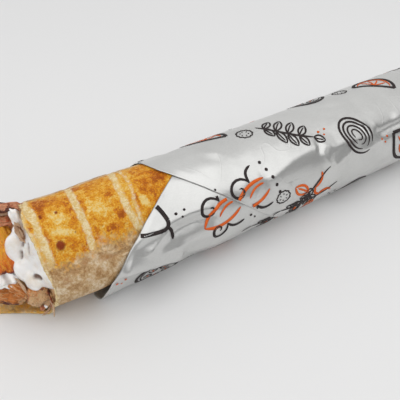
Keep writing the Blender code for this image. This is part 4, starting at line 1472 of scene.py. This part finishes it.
@dataclass
class WrappingSheet:
    """The sheet of paper, wound from its inner edge over the front, round, and down the front again.

    Pairs of numbers are where a change starts and ends, and depths and lifts are in millimetres.
    """

    roll: RollShape
    finish: PaperFinish = PaperFinish()
    thickness: float = 0.22
    pitch: float = 0.85
    level_x: float = 45.0
    turns: int = 256
    mouth_rows: int = 128
    tube_step: float = 2.2
    folds: tuple[Fold, ...] = (
        Fold(((-86, -29), (-80, -31), (-66, -31), (-52, -34), (-38, -31), (-28, -30)), 1.1, 13, 5),
        Fold(((-93, -4), (-88, 1), (-78, 5), (-70, 9), (-57, 15)), 2.1, 12, 4, 5),
        Fold(((-79, -9), (-64, -27)), 0.9, 6, 5, 5),
        Fold(((-66, -31), (-64.5, -18)), 0.7, 2.4, 3, 4),
        Fold(((-66, -22), (-50, -24), (-36, -21)), -0.7, 6, 6, 6),
        Fold(((-74, -6), (-50, -4), (-34, 2)), 0.6, 7, 6, 6),
        Fold(((-58, 12), (-30, 22)), 0.5, 6, 7, 8),
        Fold(((-24, 313), (-2, 325)), 0.6, 10, 12),
        Fold(((-6, 327), (-2, 325), (13.6, 315.3), (27.8, 312.4), (35, 314)), 1.2, 9, 13, 5),
        Fold(((32, 312), (45, 321), (50, 319), (62.7, 322.6), (75, 328)), 1.1, 8, 12, 5),
        Fold(((34, 314), (39, 344)), 0.9, 6, 5, 4),
        Fold(((39, 345), (56, 330)), 0.7, 5, 5, 5),
        Fold(((66, 306), (73.5, 323), (79, 340)), 1.1, 3.4, 3.4, 4),
        Fold(((77, 309), (74.5, 324)), 0.6, 3, 3, 3),
        Fold(((75, 327), (90, 325), (104, 321)), -1, 4, 5, 4),
        Fold(((60, 338), (78, 336)), 0.7, 5, 5, 5),
        Fold(((90, 316), (112, 330)), 0.8, 7, 5, 6),
        Fold(((-30, 352), (0, 362), (30, 374)), -0.7, 8, 9, 10),
    )
    stray_folds: int = 30
    front_folds: int = 14
    end_folds: int = 9
    depth: float = 1.5
    waves: Ripples = ((0.25, 0.05, 0.022, 3.0),)
    deepest_on_sheet: float = 1.5
    deepest: Flat = (0.3, 2.2)
    deep_from: Flat = (5.0, 18.0)
    highest: Flat = (2.6, 1.7)
    low_from: Flat = (-66.0, -54.0)
    flat_under: Flat = (330.0, 350.0)
    flat_edge: float = 4.0
    edge_dip: Spot = (0.9, 240.0, 75.0)
    dip_fade: Flat = (3.0, 20.0)
    seam_sink: Spot = (0.4, 0.0, 14.0)
    seam_start: Flat = (-56.0, -48.0)
    buried: Spot = (-1.0, 358.0, 370.0)
    stacked: Flat = (325.0, 357.0)
    end_turns: tuple[float, ...] = (4, 9, 14, 19, 24, 30, 36, 42, 48, 54, 60, 66,
                                    72, 77, 82, 86, 90)

    def __post_init__(self) -> None:
        """Adds gentle creases at the back, below and towards the closed end, the same ones each time."""
        chance = random.Random(11)
        strays = []
        for _ in range(self.stray_folds):
            wound = chance.uniform(75.0, 292.0)
            x = chance.uniform(-70.0, 120.0)
            reach, turn = chance.uniform(14.0, 34.0), chance.uniform(-24.0, 24.0)
            out = chance.uniform(-0.9, 0.9)
            strays.append(Fold(((x, wound), (x + reach, wound + turn)), out, chance.uniform(4.0, 9.0),
                               chance.uniform(4.0, 9.0), 7.0))
        for _ in range(self.front_folds):
            wound, x = chance.uniform(335.0, 392.0), chance.uniform(-8.0, 118.0)
            far = (x + chance.uniform(-5.0, 8.0), wound + chance.uniform(12.0, 26.0))
            strays.append(Fold(((x, wound), far), chance.uniform(-0.45, 0.45), 3.0, 3.0, 5.0))
        for index in range(self.end_folds):
            wound = 330.0 + index * 17.0 + chance.uniform(-5.0, 5.0)
            near = (chance.uniform(104.0, 122.0), wound + chance.uniform(-6.0, 6.0))
            strays.append(Fold((near, (137.0, wound)), -chance.uniform(0.4, 1.0), 4.0, 5.0, 5.0))
        self.all_folds = self.folds + tuple(strays)
        self.edge = self.roll.sheet_edge
        self.seam = [(x, wound) for wound, x in self.edge if wound >= self.roll.sheet_corner]
        self.per_degree = math.radians(self.roll.full_radius)

    def seam_wound(self, x: float) -> float:
        """How far the sheet reaches round at X."""
        return along(self.seam, x)

    def creased(self, wound: float, x: float) -> float:
        """How far the creases lift the sheet, as far as what lies under it leaves room.

        Args:
            wound: degrees that the sheet is wound.
            x: along the roll.

        Returns:
            The lift, in millimetres.
        """
        folds = (fold for fold in self.all_folds if fold.near(x, wound))
        out = self.depth * sum(fold.at(x, wound, self.per_degree) for fold in folds)
        out += rippled(self.waves, x, wound)
        inside = x - along(self.edge, wound)
        on_sheet = self.edge[0][0] < wound - 360.0 and x > along(self.edge, wound - 360.0)
        deepest = self.deepest_on_sheet if on_sheet else mix(*self.deepest, smooth(inside, *self.deep_from))
        highest = mix(*self.highest, smooth(x, *self.low_from))
        highest *= 1.0 - smooth(self.seam_wound(x) - wound, *self.flat_under)
        out = max(-deepest, min(highest, out)) * smooth(inside, 0.0, self.flat_edge)
        dip = self.edge_dip[0] * bump(wound, *self.edge_dip[1:])
        return out - dip * (1.0 - smooth(inside, *self.dip_fade))

    def point(self, ring: Station, wound: float, depth: float) -> Vector:
        """A point of the sheet, depth below its outer face.

        Args:
            ring: the ring across the roll.
            wound: how far the sheet is wound there.
            depth: from the outer face inwards.

        Returns:
            The place, in metres.
        """
        before = max(self.seam_wound(ring.x) - wound, 0.0)
        sink = self.seam_sink[0] * (1.0 - smooth(before, *self.seam_sink[1:]))
        sink *= smooth(ring.x, *self.seam_start)
        crease = self.creased(wound, ring.x) if ring.share == 1.0 else 0.0
        crease = mix(crease, self.buried[0], smooth(before, *self.buried[1:]))
        inset = self.pitch * before / 360.0 + depth - crease + sink - self.roll.pleat(-wound, ring.share)
        floor = self.pitch * smooth(before, *self.stacked) + depth
        radius = self.roll.paper_radius(-wound, ring.x)
        return self.roll.place(ring.x - ring.normal_x * inset, -wound,
                               radius * ring.share - ring.normal_out * inset, floor)

    def build(self) -> bpy.types.Object:
        """Makes the sheet, two faces that meet in a thin edge all round, in place of its plain solid."""
        start, stop = self.edge[0][0], self.edge[-1][0]
        tube_end = self.roll.far_end - self.roll.end_length
        mouth = [index / self.mouth_rows for index in range(self.mouth_rows + 1)]
        tube = spaced(self.level_x, tube_end, self.tube_step)[1:] + [tube_end]
        rows = len(mouth) + len(tube) + len(self.end_turns) - 1

        def point(column: int, row: int) -> tuple[Vector, Marks]:
            """A corner of the sheet."""
            outside = column <= self.turns
            step = column if outside else 2 * self.turns - column
            wound = mix(start, stop, step / self.turns)
            if row < len(mouth):
                ring = Station(mix(along(self.edge, wound), self.level_x, mouth[row]))
            elif row < len(mouth) + len(tube):
                ring = Station(tube[row - len(mouth)])
            else:
                ring = self.roll.end_ring(self.end_turns[row - len(mouth) - len(tube)])
            on_edge = row in (0, rows) or step in (0, self.turns)
            depth = self.thickness * (0.5 if on_edge else 0.0 if outside else 1.0)
            return self.point(ring, wound, depth), {}

        grid = RolledGrid(2 * self.turns, rows)
        sheet = finish_mesh(grid.build(point), "wrapping_sheet", self.finish.build())
        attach(sheet, "root")
        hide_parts("wrapper_paper")
        return sheet


# --- the print on the paper ---
class Ink(Enum):
    """The two printing inks."""

    DARK = "print_dark"
    ORANGE = "print_orange"


@dataclass(frozen=True)
class Stroke:
    """A printed line: its points in millimetres, its width, its ink, and whether its ends taper."""

    points: tuple[Flat, ...]
    width: float
    ink: Ink = Ink.DARK
    taper: bool = True

    def moved(self, x: float, y: float, degrees: float, size: float = 1.0) -> "Stroke":
        """The stroke sized, turned and put in another place."""
        cos, sin = math.cos(math.radians(degrees)) * size, math.sin(math.radians(degrees)) * size
        points = tuple((x + cos * p - sin * q, y + sin * p + cos * q) for p, q in self.points)
        return Stroke(points, self.width * size, self.ink, self.taper)


def on_oval(radii: Flat, degrees: float, centre: Flat = (0.0, 0.0)) -> Flat:
    """The place at an angle on an oval."""
    turn = math.radians(degrees)
    return centre[0] + radii[0] * math.cos(turn), centre[1] + radii[1] * math.sin(turn)


def arc_line(radii: Flat, start: float, stop: float, count: int,
             centre: Flat = (0.0, 0.0)) -> tuple[Flat, ...]:
    """Points on part of an oval, from one angle to another."""
    return tuple(on_oval(radii, mix(start, stop, index / count), centre) for index in range(count + 1))


def bowed(start: Flat, stop: Flat, belly: float, count: int = 10) -> tuple[Flat, ...]:
    """Points on a line that bows out to its left by belly.

    Args:
        start: the first point.
        stop: the last point.
        belly: how far it bows out.
        count: how many steps it has.

    Returns:
        The points.
    """
    run = (stop[0] - start[0], stop[1] - start[1])
    length = math.hypot(*run)
    side = (-run[1] / length * belly, run[0] / length * belly)
    points = []
    for index in range(count + 1):
        share = index / count
        out = 4.0 * share * (1.0 - share)
        points.append(tuple(start[axis] + run[axis] * share + side[axis] * out for axis in range(2)))
    return tuple(points)


def curl_line(centre: Flat, radius: float, start: float, turns: float, count: int = 18) -> tuple[Flat, ...]:
    """Points on a spiral that closes in on its centre.

    Args:
        centre: where it closes in.
        radius: its outer radius.
        start: the angle where it starts.
        turns: how many times round, below 0 clockwise.
        count: how many steps it has.

    Returns:
        The points.
    """
    points = []
    for index in range(count + 1):
        share = index / count
        reach = radius * (1.0 - 0.86 * share)
        points.append(on_oval((reach, reach), start + 360.0 * turns * share, centre))
    return tuple(points)


def bows(width: float, *rows: tuple, ink: Ink = Ink.DARK, taper: bool = True) -> list[Stroke]:
    """Bowed strokes of one width, from rows of start, stop, belly and, where it isn't 10, count."""
    return [Stroke(bowed(*row), width, ink, taper) for row in rows]


class Motifs:
    """Generic kitchen drawings for the print, each about 15 to 30 mm across, round its own middle."""

    @staticmethod
    def leaf(start: Flat, stop: Flat, belly: float, width: float, ink: Ink = Ink.DARK) -> list[Stroke]:
        """A leaf's outline and midrib."""
        rib = (mix(start[0], stop[0], 0.82), mix(start[1], stop[1], 0.82))
        outline = bows(width, (start, stop, belly), (start, stop, -belly), ink=ink)
        return outline + bows(width * 0.8, (start, rib, belly * 0.15), ink=ink)

    @staticmethod
    def dot(centre: Flat, radius: float, ink: Ink = Ink.DARK) -> Stroke:
        """A round dot, as one short stroke."""
        ends = ((centre[0] - radius, centre[1]), (centre[0] + radius, centre[1]))
        return Stroke(ends, 2.0 * radius, ink)

    @classmethod
    def wheat(cls) -> list[Stroke]:
        """Two crossed ears of wheat tied with an orange ribbon."""
        strokes = []
        for side in (-1, 1):
            stem = bowed((side * -6, -15), (side * 7, 15), side * 3, 16)
            strokes.append(Stroke(stem, 0.9))
            for index in range(6):
                at = stem[6 + index + (index > 2)]
                for hand in (-1, 1):
                    tip = (at[0] + side * 1.6 + hand * 3, at[1] + 3.6)
                    strokes += cls.leaf(at, tip, 1, 0.7)[:2]
            strokes += bows(0.6, (stem[-1], (side * 8.6, 20), 0.4))
        strokes += bows(1.3, ((-3.5, -4.5), (3.5, -4.5), 1.6), ((-3, -4), (-7.5, -10.5), 1.6),
                        ((3, -4), (7.5, -10.5), -1.6), ink=Ink.ORANGE)
        for side in (-1, 1):
            strokes += cls.leaf((side * 4, 0), (side * 13, 4), side * -2.4, 1.2, Ink.ORANGE)
        return strokes + [cls.dot((0, 9), 1, Ink.ORANGE), cls.dot((0, 13), 0.8)]

    @staticmethod
    def chilli() -> list[Stroke]:
        """A chilli pepper with a bold outline and an orange gleam."""
        strokes = bows(1.7, ((-13, -3), (12, 5), 8, 18), ((-13, -3), (13, 0.5), -5, 18),
                       taper=False)
        strokes += bows(1.6, ((12, 5), (13, 0.5), 1.2, 6), taper=False)
        strokes += bows(1.5, ((13, 3), (18, 7.5), -1.2))
        strokes += bows(1, ((-6, 1.8), (5, 5.6), 2.2), ink=Ink.ORANGE)
        return strokes + bows(0.8, ((-9, -2), (-2, 0.6), 1), ink=Ink.ORANGE)

    @classmethod
    def tomato(cls) -> list[Stroke]:
        """A slice of tomato with its seed rooms."""
        strokes = [Stroke(arc_line((9.5, 9), 0, 362, 34), 1.5, taper=False),
                   Stroke(arc_line((7.6, 7.2), 20, 330, 28), 0.7)]
        for index in range(5):
            turn = 72.0 * index + 14.0
            middle = on_oval((4.4, 4.2), turn)
            strokes.append(Stroke(arc_line((1.9, 1.5), turn, turn + 340, 12, middle), 0.7))
            strokes.append(cls.dot(middle, 0.55, Ink.ORANGE))
        return strokes

    @staticmethod
    def onion() -> list[Stroke]:
        """Rings of onion."""
        return [Stroke(arc_line((10.0 - 2.3 * ring, 7.0 - 1.7 * ring), 30.0 * ring, 30.0 * ring + 330, 26),
                       1.1 - 0.12 * ring) for ring in range(4)]

    @classmethod
    def sprig(cls) -> list[Stroke]:
        """A sprig of mint."""
        stem = bowed((-12, -5), (13, 4), 2, 20)
        strokes = [Stroke(stem, 1)]
        for index, reach in ((3, 5.5), (7, 7), (11, 6.6), (15, 5.2)):
            at = stem[index]
            strokes += cls.leaf(at, (at[0] + 3.4, at[1] + reach), 1.7, 0.85)
            strokes += cls.leaf(at, (at[0] + 3.8, at[1] - reach), -1.7, 0.85)
        return strokes + cls.leaf(stem[-1], (18.5, 5.6), 1.7, 0.85)

    @staticmethod
    def lemon() -> list[Stroke]:
        """A wedge of lemon, orange inside."""
        strokes = [Stroke(arc_line((10, 10), 180, 360, 24), 1.6, taper=False),
                   Stroke(((-10, 0), (10, 0)), 1.5, taper=False),
                   Stroke(arc_line((8, 8), 186, 354, 20, (0, -0.4)), 1, Ink.ORANGE)]
        for turn in (216, 252, 288, 324):
            strokes += bows(0.8, ((0, -0.8), on_oval((7.2, 7.2), turn), 0.3, 5), ink=Ink.ORANGE)
        return strokes

    @classmethod
    def flame(cls) -> list[Stroke]:
        """Curling steam and flames over a row of dots."""
        strokes = [Stroke(curl_line((-5, 3), 5.4, -90, -1.2), 1.2),
                   Stroke(curl_line((6, 4), 4.6, -90, 1.2), 1.2)]
        strokes += bows(1.2, ((-10, -8), (-5, -2.4), 2), ((10.5, -8), (6, -0.6), -2))
        strokes += bows(1.5, ((-2.5, -9), (0.5, 9), 3), ((3.5, -9), (0.5, 9), -3), ink=Ink.ORANGE)
        strokes += bows(1, ((-0.6, -8), (0.6, 1), 1.5), ink=Ink.ORANGE)
        return strokes + [cls.dot((place, -12.5), 0.75) for place in (-8, -4, 0, 4, 8)]

    @staticmethod
    def pickle() -> list[Stroke]:
        """A round of pickle with a crinkled edge and pips."""
        edge = []
        for turn in range(0, 366, 8):
            wave = 0.5 * math.cos(math.radians(11.0 * turn))
            edge.append(on_oval((5.6 + wave, 5.0 + wave), turn))
        pips = [(on_oval((2.2, 2), turn), on_oval((3.6, 3.3), turn), 0.2, 4) for turn in range(10, 360, 60)]
        return [Stroke(tuple(edge), 1, taper=False), *bows(0.8, *pips)]


@dataclass
class SheetPrint:
    """The motifs repeated over the sheet, as thin ribbons of ink that follow its creases."""

    sheet: WrappingSheet
    finishes: dict[Ink, InkFinish] = field(default_factory=lambda: {
        Ink.DARK: InkFinish(display(42, 33, 33), display(62, 52, 50)),
        Ink.ORANGE: InkFinish(display(218, 94, 22), display(226, 124, 56)),
    })
    motifs: tuple[tuple[Callable[[], list[Stroke]], float], ...] = (
        (Motifs.wheat, 70.0), (Motifs.chilli, 35.0), (Motifs.sprig, 20.0), (Motifs.tomato, 0.0),
        (Motifs.flame, 62.0), (Motifs.onion, 50.0), (Motifs.lemon, 30.0))
    dots: tuple[tuple[Flat, float], ...] = (((-2.6, 0.0), 0.8), ((0.6, 1.8), 0.6), ((1.8, -1.6), 0.7))
    rows: range = range(-9, 12)
    columns: range = range(-8, 9)
    pitch: Flat = (45.0, 39.0)
    start: Flat = (6.0, 8.0)
    slant: float = 24.0
    sway: float = 9.0
    pickle_turn: float = 20.0
    pickle_size: float = 0.8
    dots_turn: float = 15.0
    size: float = 1.25
    x_ends: Flat = (-118.0, 150.0)
    arc_ends: Flat = (-90.0, 260.0)
    closed_x: float = 138.0
    side_gaps: Flat = (4.0, 1.0)
    edge_gap: float = 0.8
    seam_gaps: Flat = (0.8, 358.0)
    lift: float = 0.2
    mouth_lift: Spot = (0.25, 2.0, 7.0)
    thick: float = 0.05
    step: float = 1.1
    short: float = 3.0
    short_ends: Flat = (2.0, 0.3)
    long_ends: Flat = (4.0, 0.22)

    def layout(self) -> Iterable[Stroke]:
        """Every stroke of the print, in X and arc length on the flat sheet.

        Returns:
            The strokes, one after another.
        """
        cos, sin = math.cos(math.radians(self.slant)), math.sin(math.radians(self.slant))
        for row, column in product(self.rows, self.columns):
            across, down = (column + 0.5 * (row % 2)) * self.pitch[0], row * self.pitch[1]
            x = across * cos - down * sin + self.start[0]
            arc = across * sin + down * cos + self.start[1]
            if not (self.x_ends[0] < x < self.x_ends[1] and self.arc_ends[0] < arc < self.arc_ends[1]):
                continue
            motif, tilt = self.motifs[(column * 3 + row * 2) % len(self.motifs)]
            tilt += self.sway * ((row + column) % 3 - 1)
            for stroke in motif():
                yield stroke.moved(x, arc, tilt, self.size)
            between = (x + 0.5 * self.pitch[0] * cos, arc + 0.5 * self.pitch[0] * sin)
            if (row + 2 * column) % 3 == 0:
                for stroke in Motifs.pickle():
                    yield stroke.moved(*between, self.pickle_turn, self.pickle_size)
            else:
                ink = Ink.ORANGE if row % 2 else Ink.DARK
                for place, radius in self.dots:
                    yield Motifs.dot(place, radius, ink).moved(*between, self.dots_turn)

    def on_sheet(self, x: float, arc: float) -> bool:
        """Whether a place is on the sheet, on its outermost turn and short of the closed end.

        Args:
            x: along the roll.
            arc: millimetres round the sheet.

        Returns:
            True where ink may lie.
        """
        wound = arc / self.sheet.per_degree
        first, last = self.sheet.edge[0][0] + self.side_gaps[0], self.sheet.edge[-1][0] - self.side_gaps[1]
        if not first < wound < last:
            return False
        before = self.sheet.seam_wound(x) - wound
        in_length = along(self.sheet.edge, wound) + self.edge_gap < x < self.closed_x
        return in_length and self.seam_gaps[0] < before < self.seam_gaps[1]

    def resampled(self, stroke: Stroke) -> list[Spot]:
        """The stroke's points at even steps as (X, arc, half width).

        Args:
            stroke: a stroke on the flat sheet.

        Returns:
            The points.
        """
        lengths = [0.0]
        for (x0, y0), (x1, y1) in zip(stroke.points, stroke.points[1:]):
            lengths.append(lengths[-1] + math.hypot(x1 - x0, y1 - y0))
        whole = lengths[-1]
        count = max(3, round(whole / self.step))
        power, least = self.short_ends if whole < self.short else self.long_ends
        spots = []
        for index in range(count + 1):
            share = index / count
            place = (along(list(zip(lengths, axis)), share * whole) for axis in zip(*stroke.points))
            swell = math.sqrt(max(0.0, 1.0 - abs(2.0 * share - 1.0) ** power))
            spots.append((*place, 0.5 * stroke.width * (max(least, swell) if stroke.taper else 1.0)))
        return spots

    def surface(self, x: float, arc: float) -> Vector:
        """A point just over the paper's outer face, a little higher near the mouth where it bends."""
        wound = arc / self.sheet.per_degree
        more, start, stop = self.mouth_lift
        near = 1.0 - smooth(x - along(self.sheet.edge, wound), start, stop)
        return self.sheet.point(Station(x), wound, -self.lift - more * near)

    def ribbon(self, bm: bmesh.types.BMesh, run: Sequence[Spot]) -> None:
        """Adds one ribbon along a run of points.

        Args:
            bm: the ink's shape so far.
            run: points (X, arc, half width).
        """
        grid = bmesh.ops.create_grid(bm, x_segments=len(run) - 1, y_segments=1, size=0.5)
        for vert in grid["verts"]:
            index = round((vert.co.x + 0.5) * (len(run) - 1))
            side = 1.0 if vert.co.y > 0.0 else -1.0
            before, after = run[max(index - 1, 0)], run[min(index + 1, len(run) - 1)]
            way = Vector((after[0] - before[0], after[1] - before[1])).normalized()
            x, arc, half = run[index]
            vert.co = self.surface(x - side * way.y * half, arc + side * way.x * half)

    def build(self) -> list[bpy.types.Object]:
        """Makes one piece for each ink.

        Returns:
            The dark print and the orange print.
        """
        shapes = {ink: bmesh.new() for ink in Ink}
        for stroke in self.layout():
            run: list[Spot] = []
            for spot in [*self.resampled(stroke), None]:
                if spot is not None and self.on_sheet(spot[0], spot[1]):
                    run.append(spot)
                    continue
                if len(run) > 1:
                    self.ribbon(shapes[stroke.ink], run)
                run = []
        made = []
        axis = Vector((0.0, self.sheet.roll.axis_y, self.sheet.roll.axis_z)) * MM
        for ink, bm in shapes.items():
            bmesh.ops.recalc_face_normals(bm, faces=bm.faces)
            inwards = [face for face in bm.faces
                       if face.normal.dot((face.calc_center_median() - axis) * Vector((0.0, 1.0, 1.0))) < 0.0]
            bmesh.ops.reverse_faces(bm, faces=inwards)
            piece = mesh_object(bm, ink.value, self.finishes[ink].build(ink.value))
            walls = piece.modifiers.new("ink_thickness", "SOLIDIFY")
            walls.thickness = self.thick * MM
            walls.offset = -1.0
            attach(piece, "root")
            made.append(piece)
        return made


# --- floor, light and camera ---
@dataclass(frozen=True)
class SoftLight:
    """A large soft lamp: where it hangs, its size and its power."""

    name: str
    place: Spot
    size: float
    power: float


@dataclass
class Studio:
    """The pale floor, the soft light and the camera at the photograph's view."""

    azimuth: float = -32.24
    elevation: float = 42.0
    distance: float = 0.2844
    target: Spot = (-0.031, -0.0013, 0.02442)
    focal_pixels: float = 512.4
    frame_pixels: int = 400
    sensor: float = 36.0
    light: SoftLight = SoftLight("top_light", (-0.16, -0.5, 1.0), 2.4, 10.0)
    low_sky: float = 0.08
    back_sky: float = 0.7
    back_rise: Flat = (0.1, 0.6)
    high_sky: float = 0.78
    sky_rise: Flat = (0.25, 0.6)
    backdrop: float = 0.8
    floor_reach: float = 1.6
    floor_colour: Colour = display(229, 229, 229)
    floor_darker: float = 0.985

    def build_floor(self) -> None:
        """Lays a wide pale floor."""
        bm = bmesh.new()
        bmesh.ops.create_grid(bm, x_segments=8, y_segments=8, size=self.floor_reach)
        finish = Finish("pale_floor")
        cloud = SharedEffects.patches(finish.work, finish.work.place(), 1.4, 0.2, 0.8)
        darker = tuple(channel * self.floor_darker for channel in self.floor_colour)
        finish.set(Base_Color=finish.work.blend(cloud, self.floor_colour, darker), Roughness=0.6,
                   Specular_IOR_Level=0.25)
        floor = mesh_object(bm, "pale_floor", finish.material)

    def build_sky(self) -> None:
        """Sets a sky that is dark low in front, lighter low behind and bright above."""
        world = bpy.data.worlds.new("soft_sky")
        world.use_nodes = True
        work = Wiring(world.node_tree)
        background = world.node_tree.nodes["Background"]
        work.feed(background.inputs["Color"], (1.0, 1.0, 1.0))
        height = work.node("ShaderNodeSeparateXYZ")
        work.feed(height.inputs[0], work.node("ShaderNodeTexCoord").outputs["Generated"])
        low = work.spread(height.outputs["Y"], *self.back_rise, self.low_sky, self.back_sky)
        sky = work.spread(height.outputs["Z"], *self.sky_rise, low, self.high_sky)
        seen = work.node("ShaderNodeLightPath").outputs["Is Camera Ray"]
        strength = work.node("ShaderNodeMix", data_type="FLOAT")
        for index, source in ((0, seen), (2, sky), (3, self.backdrop)):
            work.feed(strength.inputs[index], source)
        work.feed(background.inputs["Strength"], strength.outputs[0])
        bpy.context.scene.world = world

    def build_light(self) -> None:
        """Hangs the lamp, which faces the target."""
        lamp = bpy.data.lights.new(self.light.name, "AREA")
        lamp.shape = "DISK"
        lamp.size = self.light.size
        lamp.energy = self.light.power
        holder = linked(self.light.name, lamp)
        holder.location = self.light.place
        way = Vector(self.target) - Vector(self.light.place)
        holder.rotation_euler = way.to_track_quat("-Z", "Y").to_euler()

    def build_camera(self) -> None:
        """Puts the camera where the photograph was taken."""
        turn, rise = math.radians(self.azimuth), math.radians(self.elevation)
        back = Vector((math.sin(turn) * math.cos(rise), -math.cos(turn) * math.cos(rise), math.sin(rise)))
        lens = bpy.data.cameras.new("view")
        lens.sensor_width = self.sensor
        lens.lens = self.focal_pixels / self.frame_pixels * self.sensor
        lens.clip_start = 0.01
        camera = linked("view", lens)
        camera.location = Vector(self.target) + back * self.distance
        camera.rotation_euler = (-back).to_track_quat("-Z", "Y").to_euler()
        bpy.context.scene.camera = camera

    def build(self) -> None:
        """Sets the whole stage."""
        for step in (self.build_camera, self.build_floor, self.build_sky, self.build_light):
            step()
        bpy.context.scene.view_settings.view_transform = "Standard"


def main() -> None:
    """Builds the sandwich, its wrapper and the stage, and reports each piece."""
    logging.basicConfig(level=logging.INFO, format="%(name)s: %(message)s")
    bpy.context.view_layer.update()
    roll = RollShape()
    Studio().build()
    finishes = {
        Stuff.GOLDEN: ChickenFinish(display(255, 180, 50), display(224, 104, 16), display(124, 44, 28)),
        Stuff.ROASTED: ChickenFinish(display(222, 180, 132), display(208, 120, 42), display(96, 44, 28)),
        Stuff.CHARRED: ChickenFinish(display(222, 158, 120), display(176, 92, 56), display(86, 36, 24)),
        Stuff.SPICED: ChickenFinish(display(226, 158, 118), display(206, 98, 46), display(132, 52, 28)),
        Stuff.PALE: ChickenFinish(display(214, 180, 148), display(190, 136, 92), display(130, 84, 58)),
        Stuff.SAUCE: SauceFinish(),
    }
    materials = {stuff: finish.build(stuff.value) for stuff, finish in finishes.items()}
    sheet = WrappingSheet(roll)
    pieces = [GrilledBread(roll).build(),
              *Filling(roll).build(materials[Stuff.ROASTED], materials[Stuff.SAUCE]),
              *LoosePieces(roll).build(materials), sheet.build(), *SheetPrint(sheet).build()]
    for piece in pieces:
        log.info("%s: %d faces", piece.name, len(piece.data.polygons))


if __name__ == "__main__":
    main()
